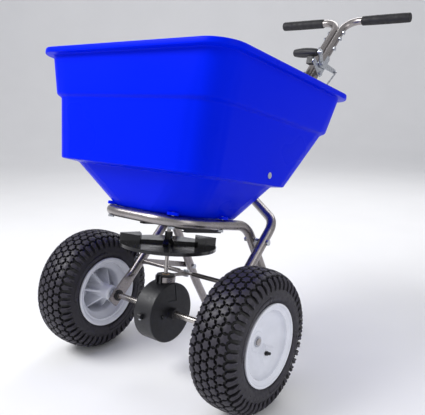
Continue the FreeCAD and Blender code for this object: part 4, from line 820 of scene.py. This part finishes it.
# %% Foam sleeves
GRIP_CENTRE = (765.0, 970.0)
GRIP_START, GRIP_END, GRIP_WALL = 74.0, 242.0, 4.0
GRIP_RADIUS, GRIP_BORE = 16.5, 12.75
grip_profile = rounded_line(np.array([
    (GRIP_END, 0.001), (GRIP_END, 14.6), (GRIP_END - 4, 15.9), (200, 16.2), (158, GRIP_RADIUS - 0.02),
    (116, 16.2), (GRIP_START + 4, 15.9), (GRIP_START, 14.8), (GRIP_START, GRIP_BORE),
    (GRIP_END - GRIP_WALL, GRIP_BORE), (GRIP_END - GRIP_WALL, 0.001)]),
    (0, 3, 3, 30, 30, 30, 3, 2, 0.6, 0.6, 0), 7)
for side, x_sign in (("right", 1), ("left", -1)):
    sleeve = turned(grip_profile, 96, x_sign, GRIP_CENTRE)
    put("grip_%s_sleeve" % side, [patch(sleeve, columns_close=True, flip=x_sign < 0)], grip_foam.material,
        "frame", "grip_" + side, slot="grip_foam", merge=0.00005)

# %% [markdown]
# ## Stage, light and camera
#
# The spreader stands on a plain pale floor that runs up into a curved backdrop, so no horizon
# shows behind it. A broad soft light from above and in front gives the long highlights on the
# tubes, a weaker one fills the shaded side, and the pale surroundings do the rest. The camera
# stands a little above the hopper's middle and looks down by 12.4 degrees.

# %% Floor and backdrop
stage_finish = Finish("stage_paper", (0.86, 0.86, 0.87), 0.75)
stage_finish.drift(stage_finish.noise(3), 0.985, 1.01)
stage_finish.bumps((stage_finish.noise(300), 0.02, 0.0002))
CAMERA_TURN = math.radians(38.2)
CAMERA_DIP = math.radians(12.4)
floor_line = rounded_line([(-4, 0), (5.0, 0), (5.0, 4.5)], 1.8, 16)
across = np.linspace(-7, 7, 12)
depth, height = np.meshgrid(floor_line[:, 0], across, indexing="ij")
lift = np.repeat(floor_line[:, 1:], len(across), 1)
floor_points = np.stack([height * math.cos(CAMERA_TURN) - depth * math.sin(CAMERA_TURN),
                         height * math.sin(CAMERA_TURN) + depth * math.cos(CAMERA_TURN), lift], -1)
floor_mesh = bpy.data.meshes.new("stage_floor")
floor_mesh.from_pydata(floor_points.reshape(-1, 3).tolist(), [], grid_faces(*lift.shape).tolist())
floor_mesh.flip_normals()
floor_mesh.shade_smooth()
floor_mesh.materials.append(stage_finish.material)
stage_floor = bpy.data.objects.new("stage_floor", floor_mesh)
bpy.context.scene.collection.objects.link(stage_floor)
print("floor faces:", len(floor_mesh.polygons))

# %% Lights


def soft_light(name, place, aim, size, power, colour=(1, 1, 1)):
    """A square area light at a place, turned so that its -Z axis looks at the aim point."""
    lamp = bpy.data.lights.new(name, "AREA")
    lamp.shape = "RECTANGLE"
    lamp.size, lamp.size_y = size
    lamp.energy = power
    lamp.color = colour
    held = bpy.data.objects.new(name, lamp)
    held.location = place
    held.rotation_euler = (Vector(aim) - Vector(place)).to_track_quat("-Z", "Y").to_euler()
    bpy.context.scene.collection.objects.link(held)


middle = (0.0, 0.0, 0.5)
soft_light("key_softbox", (-1.2, -2.0, 2.4), middle, (1.6, 1.2), 74)
soft_light("fill_softbox", (2.6, -0.6, 1.5), middle, (1.4, 1.8), 15)
soft_light("back_softbox", (-0.6, 2.2, 2.3), middle, (2.2, 1.0), 30)
room = bpy.data.worlds.new("pale_room")
room.use_nodes = True
room.node_tree.nodes["Background"].inputs["Color"].default_value = (0.95, 0.96, 1.0, 1)
room.node_tree.nodes["Background"].inputs["Strength"].default_value = 0.56
bpy.context.scene.world = room
bpy.context.scene.view_settings.view_transform = "Standard"
print("lights: 3 and the room")

# %% Camera
lens = bpy.data.cameras.new("camera")
lens.lens = 46.73
lens.sensor_width = 36.0
lens.clip_end = 50.0
camera = bpy.data.objects.new("camera", lens)
camera.location = (0.9131, -1.3613, 0.722)
camera.rotation_euler = (math.radians(90) - CAMERA_DIP, 0.0, CAMERA_TURN)
bpy.context.scene.collection.objects.link(camera)
bpy.context.scene.camera = camera
print("camera at", tuple(round(v, 3) for v in camera.location))
